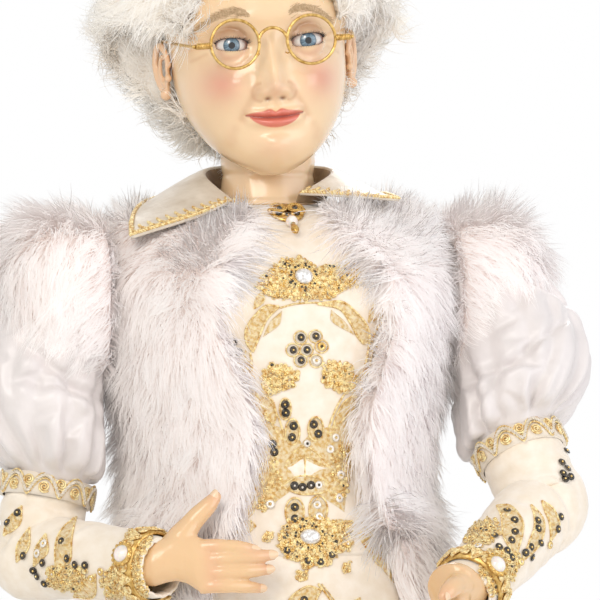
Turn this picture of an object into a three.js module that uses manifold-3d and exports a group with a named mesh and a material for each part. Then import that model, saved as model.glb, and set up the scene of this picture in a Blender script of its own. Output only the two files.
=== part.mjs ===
// A standing lady doll with a resin head and hands on a stuffed, wire-jointed body.
// Millimetres, +Z up. The origin is the centre of the base's underside and the doll faces -Y.
// Her right arm is on the -X side.
import * as THREE from "three";
import { mergeVertices } from "three/addons/utils/BufferGeometryUtils.js";
import Module from "manifold-3d";

const wasm = await Module();
wasm.setup();

// Clearances between pieces
const fit = 0.3;
const clothGap = 0.5;
const sweepGap = 0.6;

// Base and stand
const baseRadius = 88;
const baseHeight = 16;
const baseEdge = 3;
const feltRadius = 82;
const feltHeight = 1.5;
const rodRadius = 4;
const rodSink = 10;
const flangeRadius = 19;
const flangeHeight = 3;
const collarRadius = 7.5;
const collarHeight = 22;
const screwCircle = 13;
const screwRadius = 1.6;
const screwHeadRadius = 3.2;
const screwHeadHeight = 1.8;
const screwLength = 9;
const standOffset = 16;

// Heights of the dress, from the base's underside
const hemHeight = 12;
const beltHeight = 306;
const waistRise = 26;
const bustRise = 70;
const chestRise = 35;
const shoulderRise = 21;
const neckRise = 16;
const waistHeight = beltHeight + waistRise;
const bustHeight = waistHeight + bustRise;
const chestHeight = bustHeight + chestRise;
const shoulderHeight = chestHeight + shoulderRise;
const neckBase = shoulderHeight + neckRise;

// The dress's outline: half width at the side, and depth to the front and to the back
const hemSide = 118;
const hemFront = 114;
const hemBack = 112;
const kneeSide = 108;
const kneeFront = 104;
const kneeBack = 100;
const hipSide = 88;
const hipFront = 91;
const hipBack = 74;
const beltSide = 70;
const beltFront = 83;
const beltBack = 56;
const waistSide = 64;
const waistFront = 77;
const waistBack = 47;
const bustSide = 73;
const bustFront = 79;
const bustBack = 46;
const chestSide = 78;
const chestFront = 72;
const chestBack = 46;
const shoulderSide = 77;
const shoulderFront = 54;
const shoulderBack = 43;
const neckSide = 29;
const neckFront = 29;
const neckBack = 29;

// Cloth and fur
const bodiceThickness = 2.4;
const gownThickness = 2;
const coatThickness = 1.8;
const coatGap = 1;
const coatHem = 42;
const skirtFolds = 10;
const foldDepth = 6;
const foldSteps = 3;
const furThickness = 14;
const hemFurHeight = 32;
const collarThickness = 1.2;
const collarWrap = 152;
const collarYaw = -12;
const foldRise = 17;
const collarDip = 13;
const collarLeaf = 20;
const collarPoint = 18;
const collarFalls = { right: 11, left: 3, back: 14 };
const beltWidth = 14;
const beltThickness = 2;
const openingTop = 17;
const openingBust = 45;
const openingWaist = 27;
const coatOpening = 36;
const borderStep = 10;

// Head, in its own frame: heights above the neck's base
const neckRadius = 23.5;
const neckPegRadius = 8;
const neckPegLength = 22;
const headYaw = -6;
const headRoll = -4;
const chinRise = 20;
const eyeRise = 80;
const crownRise = 140;
const cheekWidth = 44;
const skullWidth = 46;
const faceFront = 51;
const skullBack = 56;
const eyeSpacing = 19;
const eyeRadius = 9;
const earRadius = 15;
const hairSide = 78;
const hairDepth = 66;
const hairHeight = 54;
const hairBack = 15;
const hairRise = 90;
const curlDepth = 4;

// Spectacles
const rimRadius = 12;
const wireRadius = 0.8;
const coilRadius = 1.7;
const rimForward = 60;

// Arms
const armSplit = 88;
const yokeRadius = 3.5;
const yokeReach = 108;
const yokeDrop = 18;
const yokeHeight = shoulderHeight - yokeDrop;
const armTop = 92;
const upperArmRadius = 16;
const puffWidth = 31;
const puffDepth = 40;
const puffBulge = 17;
const puffFolds = 7;
const elbowRadius = 21.5;
const elbowGap = 33;
const braidWidth = 11;
const braidThickness = 3;
const braidRadius = 24;
const forearmRadius = 10;
const wristRadius = 15.5;
const cuffWidth = 9;
const cuffThickness = 2.5;
const handPegRadius = 7.5;
const handPegLength = 12;
const palmLength = 34;
const palmWidth = 30;
const palmThickness = 13;
const fingerRadius = 4.2;
const fingerLengths = [26, 30, 28, 21];
const capReach = 139;
const capDepth = 50;
const capTop = 468;
const capDrop = 42;

// Jewels
const claspRadius = 9;
const jewelThickness = 2.4;
const pearlRadius = 3;
const bustCrystalRadius = 5.5;
const beltCrystalRadius = 8;
const cuffCrystalRadius = 4.8;

const DEGREE = Math.PI / 180;

// Mesh and solid helpers

function bare(geometry) {
  const copy = geometry.clone();
  copy.deleteAttribute("normal");
  copy.deleteAttribute("uv");
  return mergeVertices(copy, 1e-4);
}

function solidOf(geometry) {
  const g = bare(geometry);
  return new wasm.Manifold(
    new wasm.Mesh({
      numProp: 3,
      vertProperties: new Float32Array(g.attributes.position.array),
      triVerts: new Uint32Array(g.index.array),
    }),
  );
}

function geometryOf(solid) {
  const mesh = solid.getMesh();
  const geometry = new THREE.BufferGeometry();
  geometry.setAttribute("position", new THREE.BufferAttribute(mesh.vertProperties, 3));
  geometry.setIndex(new THREE.BufferAttribute(mesh.triVerts, 1));
  return geometry;
}

function joined(...solids) {
  return solids.reduce((sum, next) => sum.add(next));
}

// A closed solid through rings of points, each ring with the same count, capped at both ends.
function loft(rings) {
  const count = rings[0].length;
  const positions = [];
  const index = [];
  rings.flat().forEach((p) => positions.push(p.x, p.y, p.z));
  for (let r = 0; r + 1 < rings.length; r++) {
    for (let i = 0; i < count; i++) {
      const a = r * count + i;
      const b = r * count + ((i + 1) % count);
      index.push(a, b, b + count, a, b + count, a + count);
    }
  }
  [0, rings.length - 1].forEach((r) => {
    const centre = new THREE.Vector3();
    rings[r].forEach((p) => centre.addScaledVector(p, 1 / count));
    const c = positions.length / 3;
    positions.push(centre.x, centre.y, centre.z);
    for (let i = 0; i < count; i++) {
      const a = r * count + i;
      const b = r * count + ((i + 1) % count);
      if (r === 0) index.push(c, b, a);
      else index.push(c, a, b);
    }
  });
  const geometry = new THREE.BufferGeometry();
  geometry.setAttribute("position", new THREE.Float32BufferAttribute(positions, 3));
  geometry.setIndex(index);
  const solid = solidOf(geometry);
  return solid.volume() < 0 ? solidOf(flipped(geometry)) : solid;
}

function flipped(geometry) {
  const turned = geometry.clone();
  const old = geometry.index.array;
  const index = [];
  for (let i = 0; i < old.length; i += 3) index.push(old[i], old[i + 2], old[i + 1]);
  turned.setIndex(index);
  return turned;
}

// A closed sheet of some thickness over a grid of points: from depth low to depth high along
// its normal. surface(u, v) gives a point, and wrapped joins u = 1 back to u = 0.
function sheet(surface, columns, rows, low, high, wrapped = false, normalOf = slopeOf(surface)) {
  const across = wrapped ? columns : columns + 1;
  const layers = [low, high].map((depth) => {
    const grid = [];
    for (let j = 0; j <= rows; j++) {
      for (let i = 0; i < across; i++) {
        const u = i / columns;
        const v = j / rows;
        const d = typeof depth === "function" ? depth(u, v) : depth;
        grid.push(surface(u, v).addScaledVector(normalOf(u, v), d));
      }
    }
    return grid;
  });
  const positions = layers.flat().flatMap((p) => [p.x, p.y, p.z]);
  const size = across * (rows + 1);
  const index = [];
  const quad = (a, b, c, d) => index.push(a, b, c, a, c, d);
  const backQuad = (a, b, c, d) => index.push(a, c, b, a, d, c);
  const cells = wrapped ? across : across - 1;
  for (let j = 0; j < rows; j++) {
    for (let i = 0; i < cells; i++) {
      const a = j * across + i;
      const b = j * across + ((i + 1) % across);
      const c = b + across;
      const d = a + across;
      quad(size + a, size + b, size + c, size + d);
      backQuad(a, b, c, d);
    }
  }
  for (let i = 0; i < cells; i++) {
    const next = (i + 1) % across;
    const top = rows * across;
    quad(i, next, size + next, size + i);
    quad(size + top + i, size + top + next, top + next, top + i);
  }
  if (!wrapped) {
    for (let j = 0; j < rows; j++) {
      const a = j * across;
      const b = a + across;
      const right = across - 1;
      quad(b, a, size + a, size + b);
      quad(a + right, b + right, size + b + right, size + a + right);
    }
  }
  const geometry = new THREE.BufferGeometry();
  geometry.setAttribute("position", new THREE.Float32BufferAttribute(positions, 3));
  geometry.setIndex(index);
  const solid = solidOf(geometry);
  return solid.volume() < 0 ? solidOf(flipped(geometry)) : solid;
}

function slopeOf(surface) {
  const step = 1e-3;
  return (u, v) => {
    const [u0, u1] = [Math.max(0, u - step), Math.min(1, u + step)];
    const [v0, v1] = [Math.max(0, v - step), Math.min(1, v + step)];
    const across = surface(u1, v).sub(surface(u0, v));
    const up = surface(u, v1).sub(surface(u, v0));
    return across.cross(up).normalize();
  };
}

// A solid of revolution about +Z, from [radius, height] pairs, moved to run along a direction.
function turned(profile, segments, at = new THREE.Vector3(), along = new THREE.Vector3(0, 0, 1)) {
  const points = profile.map(([radius, height]) => new THREE.Vector2(radius, height));
  const geometry = new THREE.LatheGeometry(points, segments);
  geometry.rotateX(Math.PI / 2);
  const turn = new THREE.Quaternion().setFromUnitVectors(
    new THREE.Vector3(0, 0, 1),
    along.clone().normalize(),
  );
  geometry.applyQuaternion(turn);
  geometry.translate(at.x, at.y, at.z);
  const solid = solidOf(geometry);
  return solid.volume() < 0 ? solidOf(flipped(bare(geometry))) : solid;
}

// An ellipsoid, or with a squareness under 1 a rounded block.
function ellipsoid(centre, radii, across = 16, down = 10, squareness = 1) {
  const geometry = new THREE.SphereGeometry(1, across, down);
  geometry.rotateX(Math.PI / 2);
  const position = geometry.attributes.position;
  const square = (value) => Math.sign(value) * Math.abs(value) ** squareness;
  for (let i = 0; squareness !== 1 && i < position.count; i++) {
    position.setXYZ(i, ...[position.getX(i), position.getY(i), position.getZ(i)].map(square));
  }
  geometry.scale(radii.x, radii.y, radii.z);
  geometry.translate(centre.x, centre.y, centre.z);
  return solidOf(geometry);
}

function block(low, high) {
  const geometry = new THREE.BoxGeometry(high.x - low.x, high.y - low.y, high.z - low.z);
  geometry.translate((low.x + high.x) / 2, (low.y + high.y) / 2, (low.z + high.z) / 2);
  return solidOf(geometry);
}

// A round wire along a smooth curve through points.
function wire(points, radius, sides, steps) {
  const corners = [];
  for (let i = 0; i < sides; i++) {
    const a = (i / sides) * 2 * Math.PI;
    corners.push(new THREE.Vector2(radius * Math.cos(a), radius * Math.sin(a)));
  }
  const path = new THREE.CatmullRomCurve3(points);
  const options = { steps, extrudePath: path, bevelEnabled: false };
  const geometry = new THREE.ExtrudeGeometry(new THREE.Shape(corners), options);
  const solid = solidOf(geometry);
  return solid.volume() < 0 ? solidOf(flipped(bare(geometry))) : solid;
}

// A ring of points round an axis, with its own two radii.
function ringAround(centre, sideways, upwards, radiusA, radiusB, count) {
  const ring = [];
  for (let i = 0; i < count; i++) {
    const a = (i / count) * 2 * Math.PI;
    const point = centre.clone();
    point.addScaledVector(sideways, radiusA(a) * Math.cos(a));
    point.addScaledVector(upwards, radiusB(a) * Math.sin(a));
    ring.push(point);
  }
  return ring;
}

const far = 400;
const vec = (x, y, z) => new THREE.Vector3(x, y, z);

// The dress's surface: an angle of 0 is the front, and +90 degrees is the +X side.

const dressSections = [
  { z: hemHeight, side: hemSide, front: hemFront, back: hemBack },
  { z: (hemHeight + beltHeight) / 3, side: kneeSide, front: kneeFront, back: kneeBack },
  { z: beltHeight - 46, side: hipSide, front: hipFront, back: hipBack },
  { z: beltHeight, side: beltSide, front: beltFront, back: beltBack },
  { z: waistHeight, side: waistSide, front: waistFront, back: waistBack },
  { z: bustHeight, side: bustSide, front: bustFront, back: bustBack },
  { z: chestHeight, side: chestSide, front: chestFront, back: chestBack },
  { z: shoulderHeight, side: shoulderSide, front: shoulderFront, back: shoulderBack },
  { z: neckBase, side: neckSide, front: neckFront, back: neckBack },
];

// A smooth curve through the sections' sizes, by height.
function sectionAt(z) {
  const last = dressSections.length - 2;
  let k = dressSections.findIndex((s, i) => i <= last && z < dressSections[i + 1].z);
  if (k < 0) k = last;
  const p1 = dressSections[k];
  const p2 = dressSections[k + 1];
  const p0 = dressSections[Math.max(0, k - 1)];
  const p3 = dressSections[Math.min(last + 1, k + 2)];
  const span = p2.z - p1.z;
  const t = (z - p1.z) / span;
  const blend = (key) => {
    const m1 = k === 0 ? p2[key] - p1[key] : ((p2[key] - p0[key]) / (p2.z - p0.z)) * span;
    const m2 = k === last ? p2[key] - p1[key] : ((p3[key] - p1[key]) / (p3.z - p1.z)) * span;
    const h = [2 * t ** 3 - 3 * t ** 2 + 1, t ** 3 - 2 * t ** 2 + t];
    const g = [-2 * t ** 3 + 3 * t ** 2, t ** 3 - t ** 2];
    return h[0] * p1[key] + h[1] * m1 + g[0] * p2[key] + g[1] * m2;
  };
  return { side: blend("side"), front: blend("front"), back: blend("back") };
}

function foldAt(angle, z) {
  const drop = Math.min(1, Math.max(0, (beltHeight - z) / (beltHeight - hemHeight)));
  return foldDepth * drop ** 1.2 * Math.cos(skirtFolds * angle);
}

function smoothDress(angle, z) {
  const { side, front, back } = sectionAt(z);
  const depth = Math.cos(angle) > 0 ? front : back;
  const fold = foldAt(angle, z);
  return vec((side + fold) * Math.sin(angle), -(depth + fold) * Math.cos(angle), z);
}

// The layers of cloth and fur nest because all of them lie on the same flat facets, which are
// cut at these heights and at a whole number of these angles.
const gridAngle = 360 / (skirtFolds * foldSteps);
const dressRows = [
  hemHeight,
  coatHem,
  hemHeight + (beltHeight - hemHeight) * 0.33,
  hemHeight + (beltHeight - hemHeight) * 0.6,
  beltHeight - 46,
  beltHeight,
  waistHeight,
  bustHeight,
  chestHeight,
  shoulderHeight,
  (shoulderHeight + neckBase) / 2,
  neckBase,
];

function dress(angle, z) {
  const k = Math.max(0, Math.min(dressRows.length - 2, dressRows.findLastIndex((row) => row <= z)));
  const t = (z - dressRows[k]) / (dressRows[k + 1] - dressRows[k]);
  const step = gridAngle * DEGREE;
  const cell = Math.floor(angle / step + 1e-6);
  const u = angle / step - cell;
  const row = (height) =>
    smoothDress(cell * step, height).lerp(smoothDress((cell + 1) * step, height), u);
  return row(dressRows[k]).lerp(row(dressRows[k + 1]), t);
}

// The heights at which a band of the dress is cut.
function rowsBetween(bottom, top) {
  return [bottom, ...dressRows.filter((z) => z > bottom + 1 && z < top - 1), top];
}

// A band of the dress between two angles in degrees, which may change with height.
function dressBand(from, to, bottom, top, columns, low, high, wrapped = false) {
  const heights = rowsBetween(bottom, top);
  const rows = heights.length - 1;
  const heightAt = (v) => heights[Math.round(v * rows)];
  const angleAt = (u) => (from + (to - from) * u) * DEGREE;
  const surface = (u, v) => dress(angleAt(u), heightAt(v));
  const normalOf = (u, v) => dressNormal(angleAt(u), heightAt(v));
  const depth = (value) =>
    typeof value === "function" ? (u, v) => value(angleAt(u), heightAt(v)) : value;
  return sheet(surface, columns, rows, depth(low), depth(high), wrapped, normalOf);
}

// A closed ring of the dress from one depth to another, outwards.
function dressRing(bottom, top, low, high) {
  return dressBand(0, 360, bottom, top, skirtFolds * foldSteps, low, high, true);
}

function dressNormal(angle, z) {
  const turn = 0.01;
  const rise = 0.5;
  const across = smoothDress(angle + turn, z).sub(smoothDress(angle - turn, z));
  const up = smoothDress(angle, Math.min(neckBase, z + rise)).sub(smoothDress(angle, z - rise));
  return across.cross(up).normalize();
}

// A solid core inside the dress, some depth in from its surface.
function dressCore(bottom, top, depth, around) {
  const rings = rowsBetween(bottom, top).map((z) => {
    const ring = [];
    for (let i = 0; i < around; i++) {
      const angle = (i / around) * 2 * Math.PI;
      ring.push(dress(angle, z).addScaledVector(dressNormal(angle, z), -depth));
    }
    return ring;
  });
  return loft(rings);
}

// Arms: the elbow from the shoulder, the wrist from the elbow, and how the hand is held.

const yokeAxis = (side) => vec(side * armTop, 0, yokeHeight);
const arms = [
  {
    name: "right",
    side: -1,
    elbowFrom: vec(-31, -16, -140),
    wristFrom: vec(47, -76, -4),
    fingers: vec(0.95, -0.28, 0.06),
    palmFaces: vec(0.25, 0.95, -0.1),
    bendDown: 12,
    bendUp: 15,
  },
  {
    name: "left",
    side: 1,
    elbowFrom: vec(33, -64, -116),
    wristFrom: vec(-55, -54, -40),
    fingers: vec(-0.45, -0.6, -0.55),
    palmFaces: vec(-0.62, 0.45, 0.55),
    bendDown: 12,
    bendUp: 15,
  },
];
arms.forEach((arm) => {
  arm.shoulder = yokeAxis(arm.side);
  arm.elbow = arm.shoulder.clone().add(arm.elbowFrom);
  arm.wrist = arm.elbow.clone().add(arm.wristFrom);
  arm.upper = arm.elbow.clone().sub(arm.shoulder).normalize();
  arm.fore = arm.wrist.clone().sub(arm.elbow).normalize();
  arm.bendAxis = arm.upper.clone().cross(arm.fore).normalize();
  arm.clip = (solid) => solid.intersect(outsideSplit(arm.side));
});

function outsideSplit(side) {
  const inner = side * (armSplit + fit);
  const outer = side * far;
  return block(
    vec(Math.min(inner, outer), -far, -far),
    vec(Math.max(inner, outer), far, 2 * far),
  );
}

const yokeBore = turned(
  [[0, -far], [yokeRadius + fit, -far], [yokeRadius + fit, far], [0, far]],
  16, vec(0, 0, yokeHeight), vec(1, 0, 0),
);

// Base and stand

function makeFelt() {
  return turned([[0, 0], [feltRadius, 0], [feltRadius, feltHeight], [0, feltHeight]], 28);
}

function makeBoard() {
  const top = baseHeight;
  const pocket = turned(
    [[0, top - rodSink], [rodRadius + fit, top - rodSink], [rodRadius + fit, top + 1], [0, top + 1]],
    16, vec(0, standOffset, 0),
  );
  const board = turned([
    [0, feltHeight],
    [baseRadius - baseEdge, feltHeight],
    [baseRadius, feltHeight + baseEdge],
    [baseRadius, top - 2 * baseEdge],
    [baseRadius - baseEdge, top - baseEdge],
    [baseRadius - baseEdge, top],
    [0, top],
  ], 28);
  return board.subtract(joined(...screwPlaces().map((at) => screwShank(at, fit)), pocket));
}

function screwPlaces() {
  return [-1, 1].map((side) => vec(0, standOffset + side * screwCircle, baseHeight));
}

function screwShank(at, gap) {
  const radius = screwRadius + gap;
  const depth = flangeHeight - screwLength - gap;
  return turned([[0, depth], [radius, depth], [radius, flangeHeight + 1], [0, flangeHeight + 1]], 8, at);
}

function makeScrew(at) {
  const head = flangeHeight;
  return turned([
    [0, head - screwLength],
    [screwRadius, head - screwLength + screwRadius],
    [screwRadius, head],
    [screwHeadRadius, head],
    [screwHeadRadius * 0.7, head + screwHeadHeight],
    [0, head + screwHeadHeight],
  ], 8, at);
}

function makeSocket() {
  const bore = rodRadius + fit;
  const profile = [
    [bore, 0],
    [flangeRadius, 0],
    [flangeRadius, flangeHeight],
    [collarRadius, flangeHeight],
    [collarRadius, collarHeight],
    [bore, collarHeight],
    [bore, 0],
  ];
  const socket = turned(profile, 16, vec(0, standOffset, baseHeight));
  return socket.subtract(joined(...screwPlaces().map((at) => screwShank(at, fit))));
}

const rodTop = beltHeight - 4;
const hipBottom = beltHeight - 46;
const hipTop = beltHeight + 8;
function makeRod(gap) {
  const bottom = baseHeight - rodSink + (gap ? 0 : fit);
  const radius = rodRadius + gap;
  return turned(
    [[0, bottom], [radius, bottom], [radius, rodTop + gap], [0, rodTop + gap]],
    16, vec(0, standOffset, 0),
  );
}

// Legs and boots

const ankleHeight = 78;
const legSpread = 26;
const bootLength = 62;
const bootWidth = 13;
function makeBoot(side) {
  const x = side * legSpread;
  const ring = (z, back, front, half) => {
    const centre = vec(x, (front + back) / 2, z);
    return ringAround(centre, vec(1, 0, 0), vec(0, 1, 0), () => half, () => (back - front) / 2, 16);
  };
  const heel = 12;
  const toe = heel - bootLength;
  return loft([
    ring(baseHeight, heel, toe, bootWidth - 1),
    ring(baseHeight + 4, heel + 1, toe - 1, bootWidth),
    ring(baseHeight + 14, heel + 1, toe + 6, bootWidth),
    ring(baseHeight + 26, heel, toe + 28, bootWidth - 1),
    ring(ankleHeight - 18, heel - 1, heel - 25, bootWidth - 1),
    ring(ankleHeight, heel, heel - 28, bootWidth + 1),
  ]);
}

function makeLeg(side) {
  const x = side * legSpread;
  const ring = (z, radius) =>
    ringAround(vec(x, -2, z), vec(1, 0, 0), vec(0, 1, 0), () => radius, () => radius, 14);
  return loft([
    ring(ankleHeight + fit, 11),
    ring(ankleHeight + 40, 16),
    ring(ankleHeight + 70, 14),
    ring(ankleHeight + 110, 19),
    ring(hipBottom - fit, 20),
  ]).subtract(makeRod(clothGap));
}

function slab(bottom, top) {
  return block(vec(-far, -far, bottom), vec(far, far, top));
}

function makeHipBlock() {
  const core = dressCore(hipBottom - 6, hipTop + 6, bodiceThickness + 12, 18);
  return core.intersect(slab(hipBottom, hipTop)).subtract(makeRod(fit));
}

// Body

function makeTorso() {
  const core = dressCore(hipTop - 6, neckBase - 8, bodiceThickness + clothGap, 18);
  const trimmed = core.intersect(slab(hipTop + fit, neckBase));
  return trimmed.subtract(joined(yokeBore, neckSocketBody(fit)));
}

const socketRadius = neckPegRadius + 5;
function neckSocketBody(gap) {
  const radius = socketRadius + gap;
  const bottom = neckBase - neckPegLength - 6 - gap;
  return turned([[0, bottom], [radius, bottom], [radius, neckBase], [0, neckBase]], 20);
}

function makeNeckSocket() {
  const bore = neckPegRadius + fit;
  const floor = neckBase - neckPegLength;
  const hole = turned([[0, floor], [bore, floor], [bore, neckBase + 1], [0, neckBase + 1]], 20);
  return neckSocketBody(0).subtract(hole).subtract(yokeBore);
}

function makeYoke() {
  return turned(
    [[0, -yokeReach], [yokeRadius, -yokeReach], [yokeRadius, yokeReach], [0, yokeReach]],
    16, vec(0, 0, yokeHeight), vec(1, 0, 0),
  );
}

function makeBodice() {
  return dressRing(beltHeight + fit, neckBase, -bodiceThickness, 0).subtract(yokeBore);
}

function makeGownSkirt() {
  return dressRing(hemHeight, beltHeight, -gownThickness, 0);
}

const coatLow = coatGap;
const coatHigh = coatGap + coatThickness;

const furLow = coatHigh + clothGap + 0.2;

// The coat's opening from the belt up: half its width at each of these heights.
const openingMarks = [
  [beltHeight, beltSide * Math.sin(coatOpening * DEGREE)],
  [waistHeight + 28, openingWaist],
  [bustHeight + 28, openingBust],
  [neckBase - 4, openingTop],
];

// A block in front of the doll, as wide as the opening and some more on each side.
function openingBlock(more) {
  const right = openingMarks.map(([z, half]) => vec(half + more, z, 0));
  const curve = new THREE.CatmullRomCurve3(right).getPoints(12);
  const below = vec(curve[0].x, beltHeight - 20, 0);
  const above = vec(curve.at(-1).x, neckBase + 20, 0);
  const side = [below, ...curve, above];
  const outline = [...side, ...side.toReversed().map((p) => vec(-p.x, p.y, 0))];
  return frontBlock(outline.map((p) => new THREE.Vector2(p.x, p.y)));
}

// An outline in X and Z carried from the doll's middle out to the front.
function frontBlock(outline) {
  const options = { depth: far, bevelEnabled: false };
  const geometry = new THREE.ExtrudeGeometry(new THREE.Shape(outline), options);
  geometry.rotateX(Math.PI / 2);
  return solidOf(geometry);
}

const coatTop = shoulderHeight;
function makeCoatSkirt() {
  const columns = Math.round((360 - 2 * coatOpening) / gridAngle);
  return dressBand(
    coatOpening, 360 - coatOpening, coatHem, beltHeight - fit, columns, coatLow, coatHigh,
  );
}

function makeCoatBack() {
  const ring = dressRing(beltHeight, coatTop, coatLow, coatHigh);
  return ring.subtract(joined(openingBlock(borderStep), yokeBore));
}

// Fur thins under the collar, less so out on the shoulders, and is pressed flat under the arms.
function furHigh(angle, z) {
  const out = Math.abs(sectionAt(z).side * Math.sin(angle));
  const shoulder = 0.45 * Math.min(1, Math.max(0, (out - 50) / 20));
  const neck = Math.min(1, Math.max(0.08, shoulder, (neckBase - 10 - z) / 30));
  return furLow + furThickness * neck * (1 - 0.3 * Math.sin(angle) ** 2);
}

const vestTop = neckBase - 4;
const vestSplit = bustHeight + 2;
const vestBottom = beltHeight + 2;
const vestPanelWidth = 34;
const capeBottom = vestSplit - 20;
function makeVestFront(side) {
  const ring = dressRing(vestBottom, vestTop, furLow, furHigh);
  const edge = side * (beltSide * Math.sin(coatOpening * DEGREE) + vestPanelWidth);
  const outline = [
    [0, vestBottom - 1], [edge, vestBottom - 1], [edge, vestSplit - 44],
    [side * armSplit, vestSplit], [side * armSplit, vestTop + 20], [0, vestTop + 20],
  ];
  const keep = frontBlock(outline.map(([x, z]) => new THREE.Vector2(x, z)));
  const room = joined(openingBlock(0), yokeBore);
  return biggest(ring.intersect(keep).subtract(room));
}

function makeCapeBack() {
  const ring = dressRing(capeBottom, vestTop, furLow, furHigh);
  const keep = block(vec(-armSplit, clothGap, 0), vec(armSplit, far, 2 * far));
  return biggest(ring.intersect(keep).subtract(yokeBore));
}

const coatFurEdge = coatOpening + 3 * gridAngle;
function makeCoatFur(side) {
  const from = coatOpening;
  const columns = Math.round((coatFurEdge - from) / gridAngle);
  const rounding = (angle) => {
    const u = (Math.abs(angle) / DEGREE - from) / (coatFurEdge - from);
    return furLow + furThickness * (0.6 + 0.4 * Math.sin(Math.PI * u));
  };
  return dressBand(
    side > 0 ? from : -coatFurEdge, side > 0 ? coatFurEdge : -from,
    hemHeight + 4, vestBottom - fit, columns, furLow, rounding,
  );
}

function makeHemFur() {
  const seam = 0.4;
  const bottom = hemHeight + 4;
  const top = bottom + hemFurHeight;
  const columns = Math.round((360 - 2 * coatFurEdge) / gridAngle);
  const rounding = (angle, z) =>
    furLow + furThickness * (0.6 + 0.4 * Math.sin((Math.PI * (z - bottom)) / (top - bottom)));
  return dressBand(
    coatFurEdge + seam, 360 - coatFurEdge - seam, bottom, top, columns, furLow, rounding,
  );
}

function makeBelt() {
  const bottom = beltHeight + fit;
  return dressBand(
    -coatOpening + 2, coatOpening - 2, bottom, bottom + beltWidth, 6, clothGap,
    clothGap + beltThickness,
  );
}

// A plaque that follows the bodice's front, and the stone that sits on it.
const plaqueLow = clothGap;
const plaqueHeight = 20;
const bodicePlaqueWidth = 50;
const beltPlaqueWidth = 44;
const beltPlaqueLow = clothGap + beltThickness + fit;
const beltMiddle = beltHeight + fit + beltWidth / 2;
function makePlaque(z, width, lift) {
  const across = Math.asin(width / 2 / sectionAt(z).side) / DEGREE;
  return dressBand(
    -across, across, z - plaqueHeight / 2, z + plaqueHeight / 2, 8, lift, lift + jewelThickness,
  );
}

function makeStone(at, facing, radius, sideways = 1) {
  const stone = turned([
    [0, 0],
    [radius * 0.92, 0],
    [radius, radius * 0.22],
    [radius * 0.62, radius * 0.55],
    [0, radius * 0.6],
  ], 16);
  const geometry = geometryOf(stone);
  geometry.scale(sideways, 1, 1);
  const turn = new THREE.Matrix4().lookAt(facing, vec(0, 0, 0), vec(0, 0, 1));
  geometry.applyMatrix4(turn);
  geometry.translate(at.x, at.y, at.z);
  return solidOf(geometry);
}

function stoneOnDress(z, radius, lift, sideways) {
  const normal = dressNormal(0, z);
  const at = dress(0, z).addScaledVector(normal, lift + jewelThickness + clothGap);
  return makeStone(at, normal, radius, sideways);
}

// Collar, clasp and pearl

// A fold line that drops towards the open front, and a leaf that falls outwards from it.
const standRadius = neckRadius + 5;
function collarSurface(u, v) {
  const stand = 0.35;
  const angle = (180 - collarWrap + 2 * collarWrap * u + collarYaw) * DEGREE;
  const front = Math.abs(2 * u - 1) ** 3;
  const rise = Math.min(1, v / stand);
  const fall = Math.max(0, (v - stand) / (1 - stand));
  const radius = standRadius + 4 * rise + (collarLeaf + collarPoint * front) * fall;
  const bottom = neckBase + 1;
  const foldLine = foldRise - collarDip * front;
  const frontDrop = u < 0.5 ? collarFalls.left : collarFalls.right;
  const drop = (collarFalls.back + (frontDrop - collarFalls.back) * front) * fall ** 1.3;
  const turn = angle + front * fall * 38 * DEGREE * Math.sign(0.5 - u);
  const height = bottom + foldLine * Math.sin((rise * Math.PI) / 2) - drop;
  return vec(radius * Math.sin(turn), -radius * Math.cos(turn), height);
}

function makeCollar() {
  return sheet(collarSurface, 16, 6, 0, collarThickness);
}

const claspHeight = neckBase - 8;
function makeClasp() {
  const z = claspHeight;
  const normal = dressNormal(0, z);
  const at = dress(0, z).addScaledVector(normal, clothGap);
  const disc = [[0, 0], [claspRadius, 0], [claspRadius, 1.4], [claspRadius * 0.6, 3], [0, 3.4]];
  return turned(disc, 20, at, normal);
}

function makePearlDrop() {
  const z = claspHeight;
  const normal = dressNormal(0, z);
  const down = vec(1, 0, 0).cross(normal).normalize();
  down.multiplyScalar(Math.sign(-down.z));
  const at = dress(0, z).addScaledVector(normal, clothGap + pearlRadius);
  at.addScaledVector(down, claspRadius + pearlRadius + fit);
  const pearl = ellipsoid(at, vec(pearlRadius, pearlRadius, pearlRadius), 10, 6);
  const drop = [[0, 0], [1, 0.4], [2, 5], [1.6, 8], [0, 9]];
  return pearl.add(turned(drop, 8, at.addScaledVector(down, pearlRadius - 1), down));
}

// Head

const headTurn = new THREE.Quaternion().setFromEuler(
  new THREE.Euler(0, headRoll * DEGREE, headYaw * DEGREE, "ZYX"),
);
const headPlace = (point) => point.clone().applyQuaternion(headTurn).add(vec(0, 0, neckBase));

function headPlaced(solid) {
  const geometry = geometryOf(solid);
  geometry.applyQuaternion(headTurn);
  geometry.translate(0, 0, neckBase);
  return solidOf(geometry);
}

// Sections of the skull: rise, half width, front and back
const headSections = [
  [chinRise - 3, 9, -38, -20],
  [chinRise, 15, -42, -12],
  [chinRise + 5, 22, -45, -2],
  [chinRise + 12, 29, -47, 14],
  [chinRise + 25, 37, -faceFront + 3, 30],
  [chinRise + 40, cheekWidth - 2, -faceFront + 1, 44],
  [eyeRise, cheekWidth, -faceFront + 1, 54],
  [eyeRise + 20, skullWidth, -faceFront, skullBack],
  [eyeRise + 38, skullWidth - 5, -faceFront + 10, skullBack - 6],
  [crownRise - 9, skullWidth - 17, -faceFront + 27, skullBack - 20],
  [crownRise, 10, -4, skullBack - 40],
];

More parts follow.
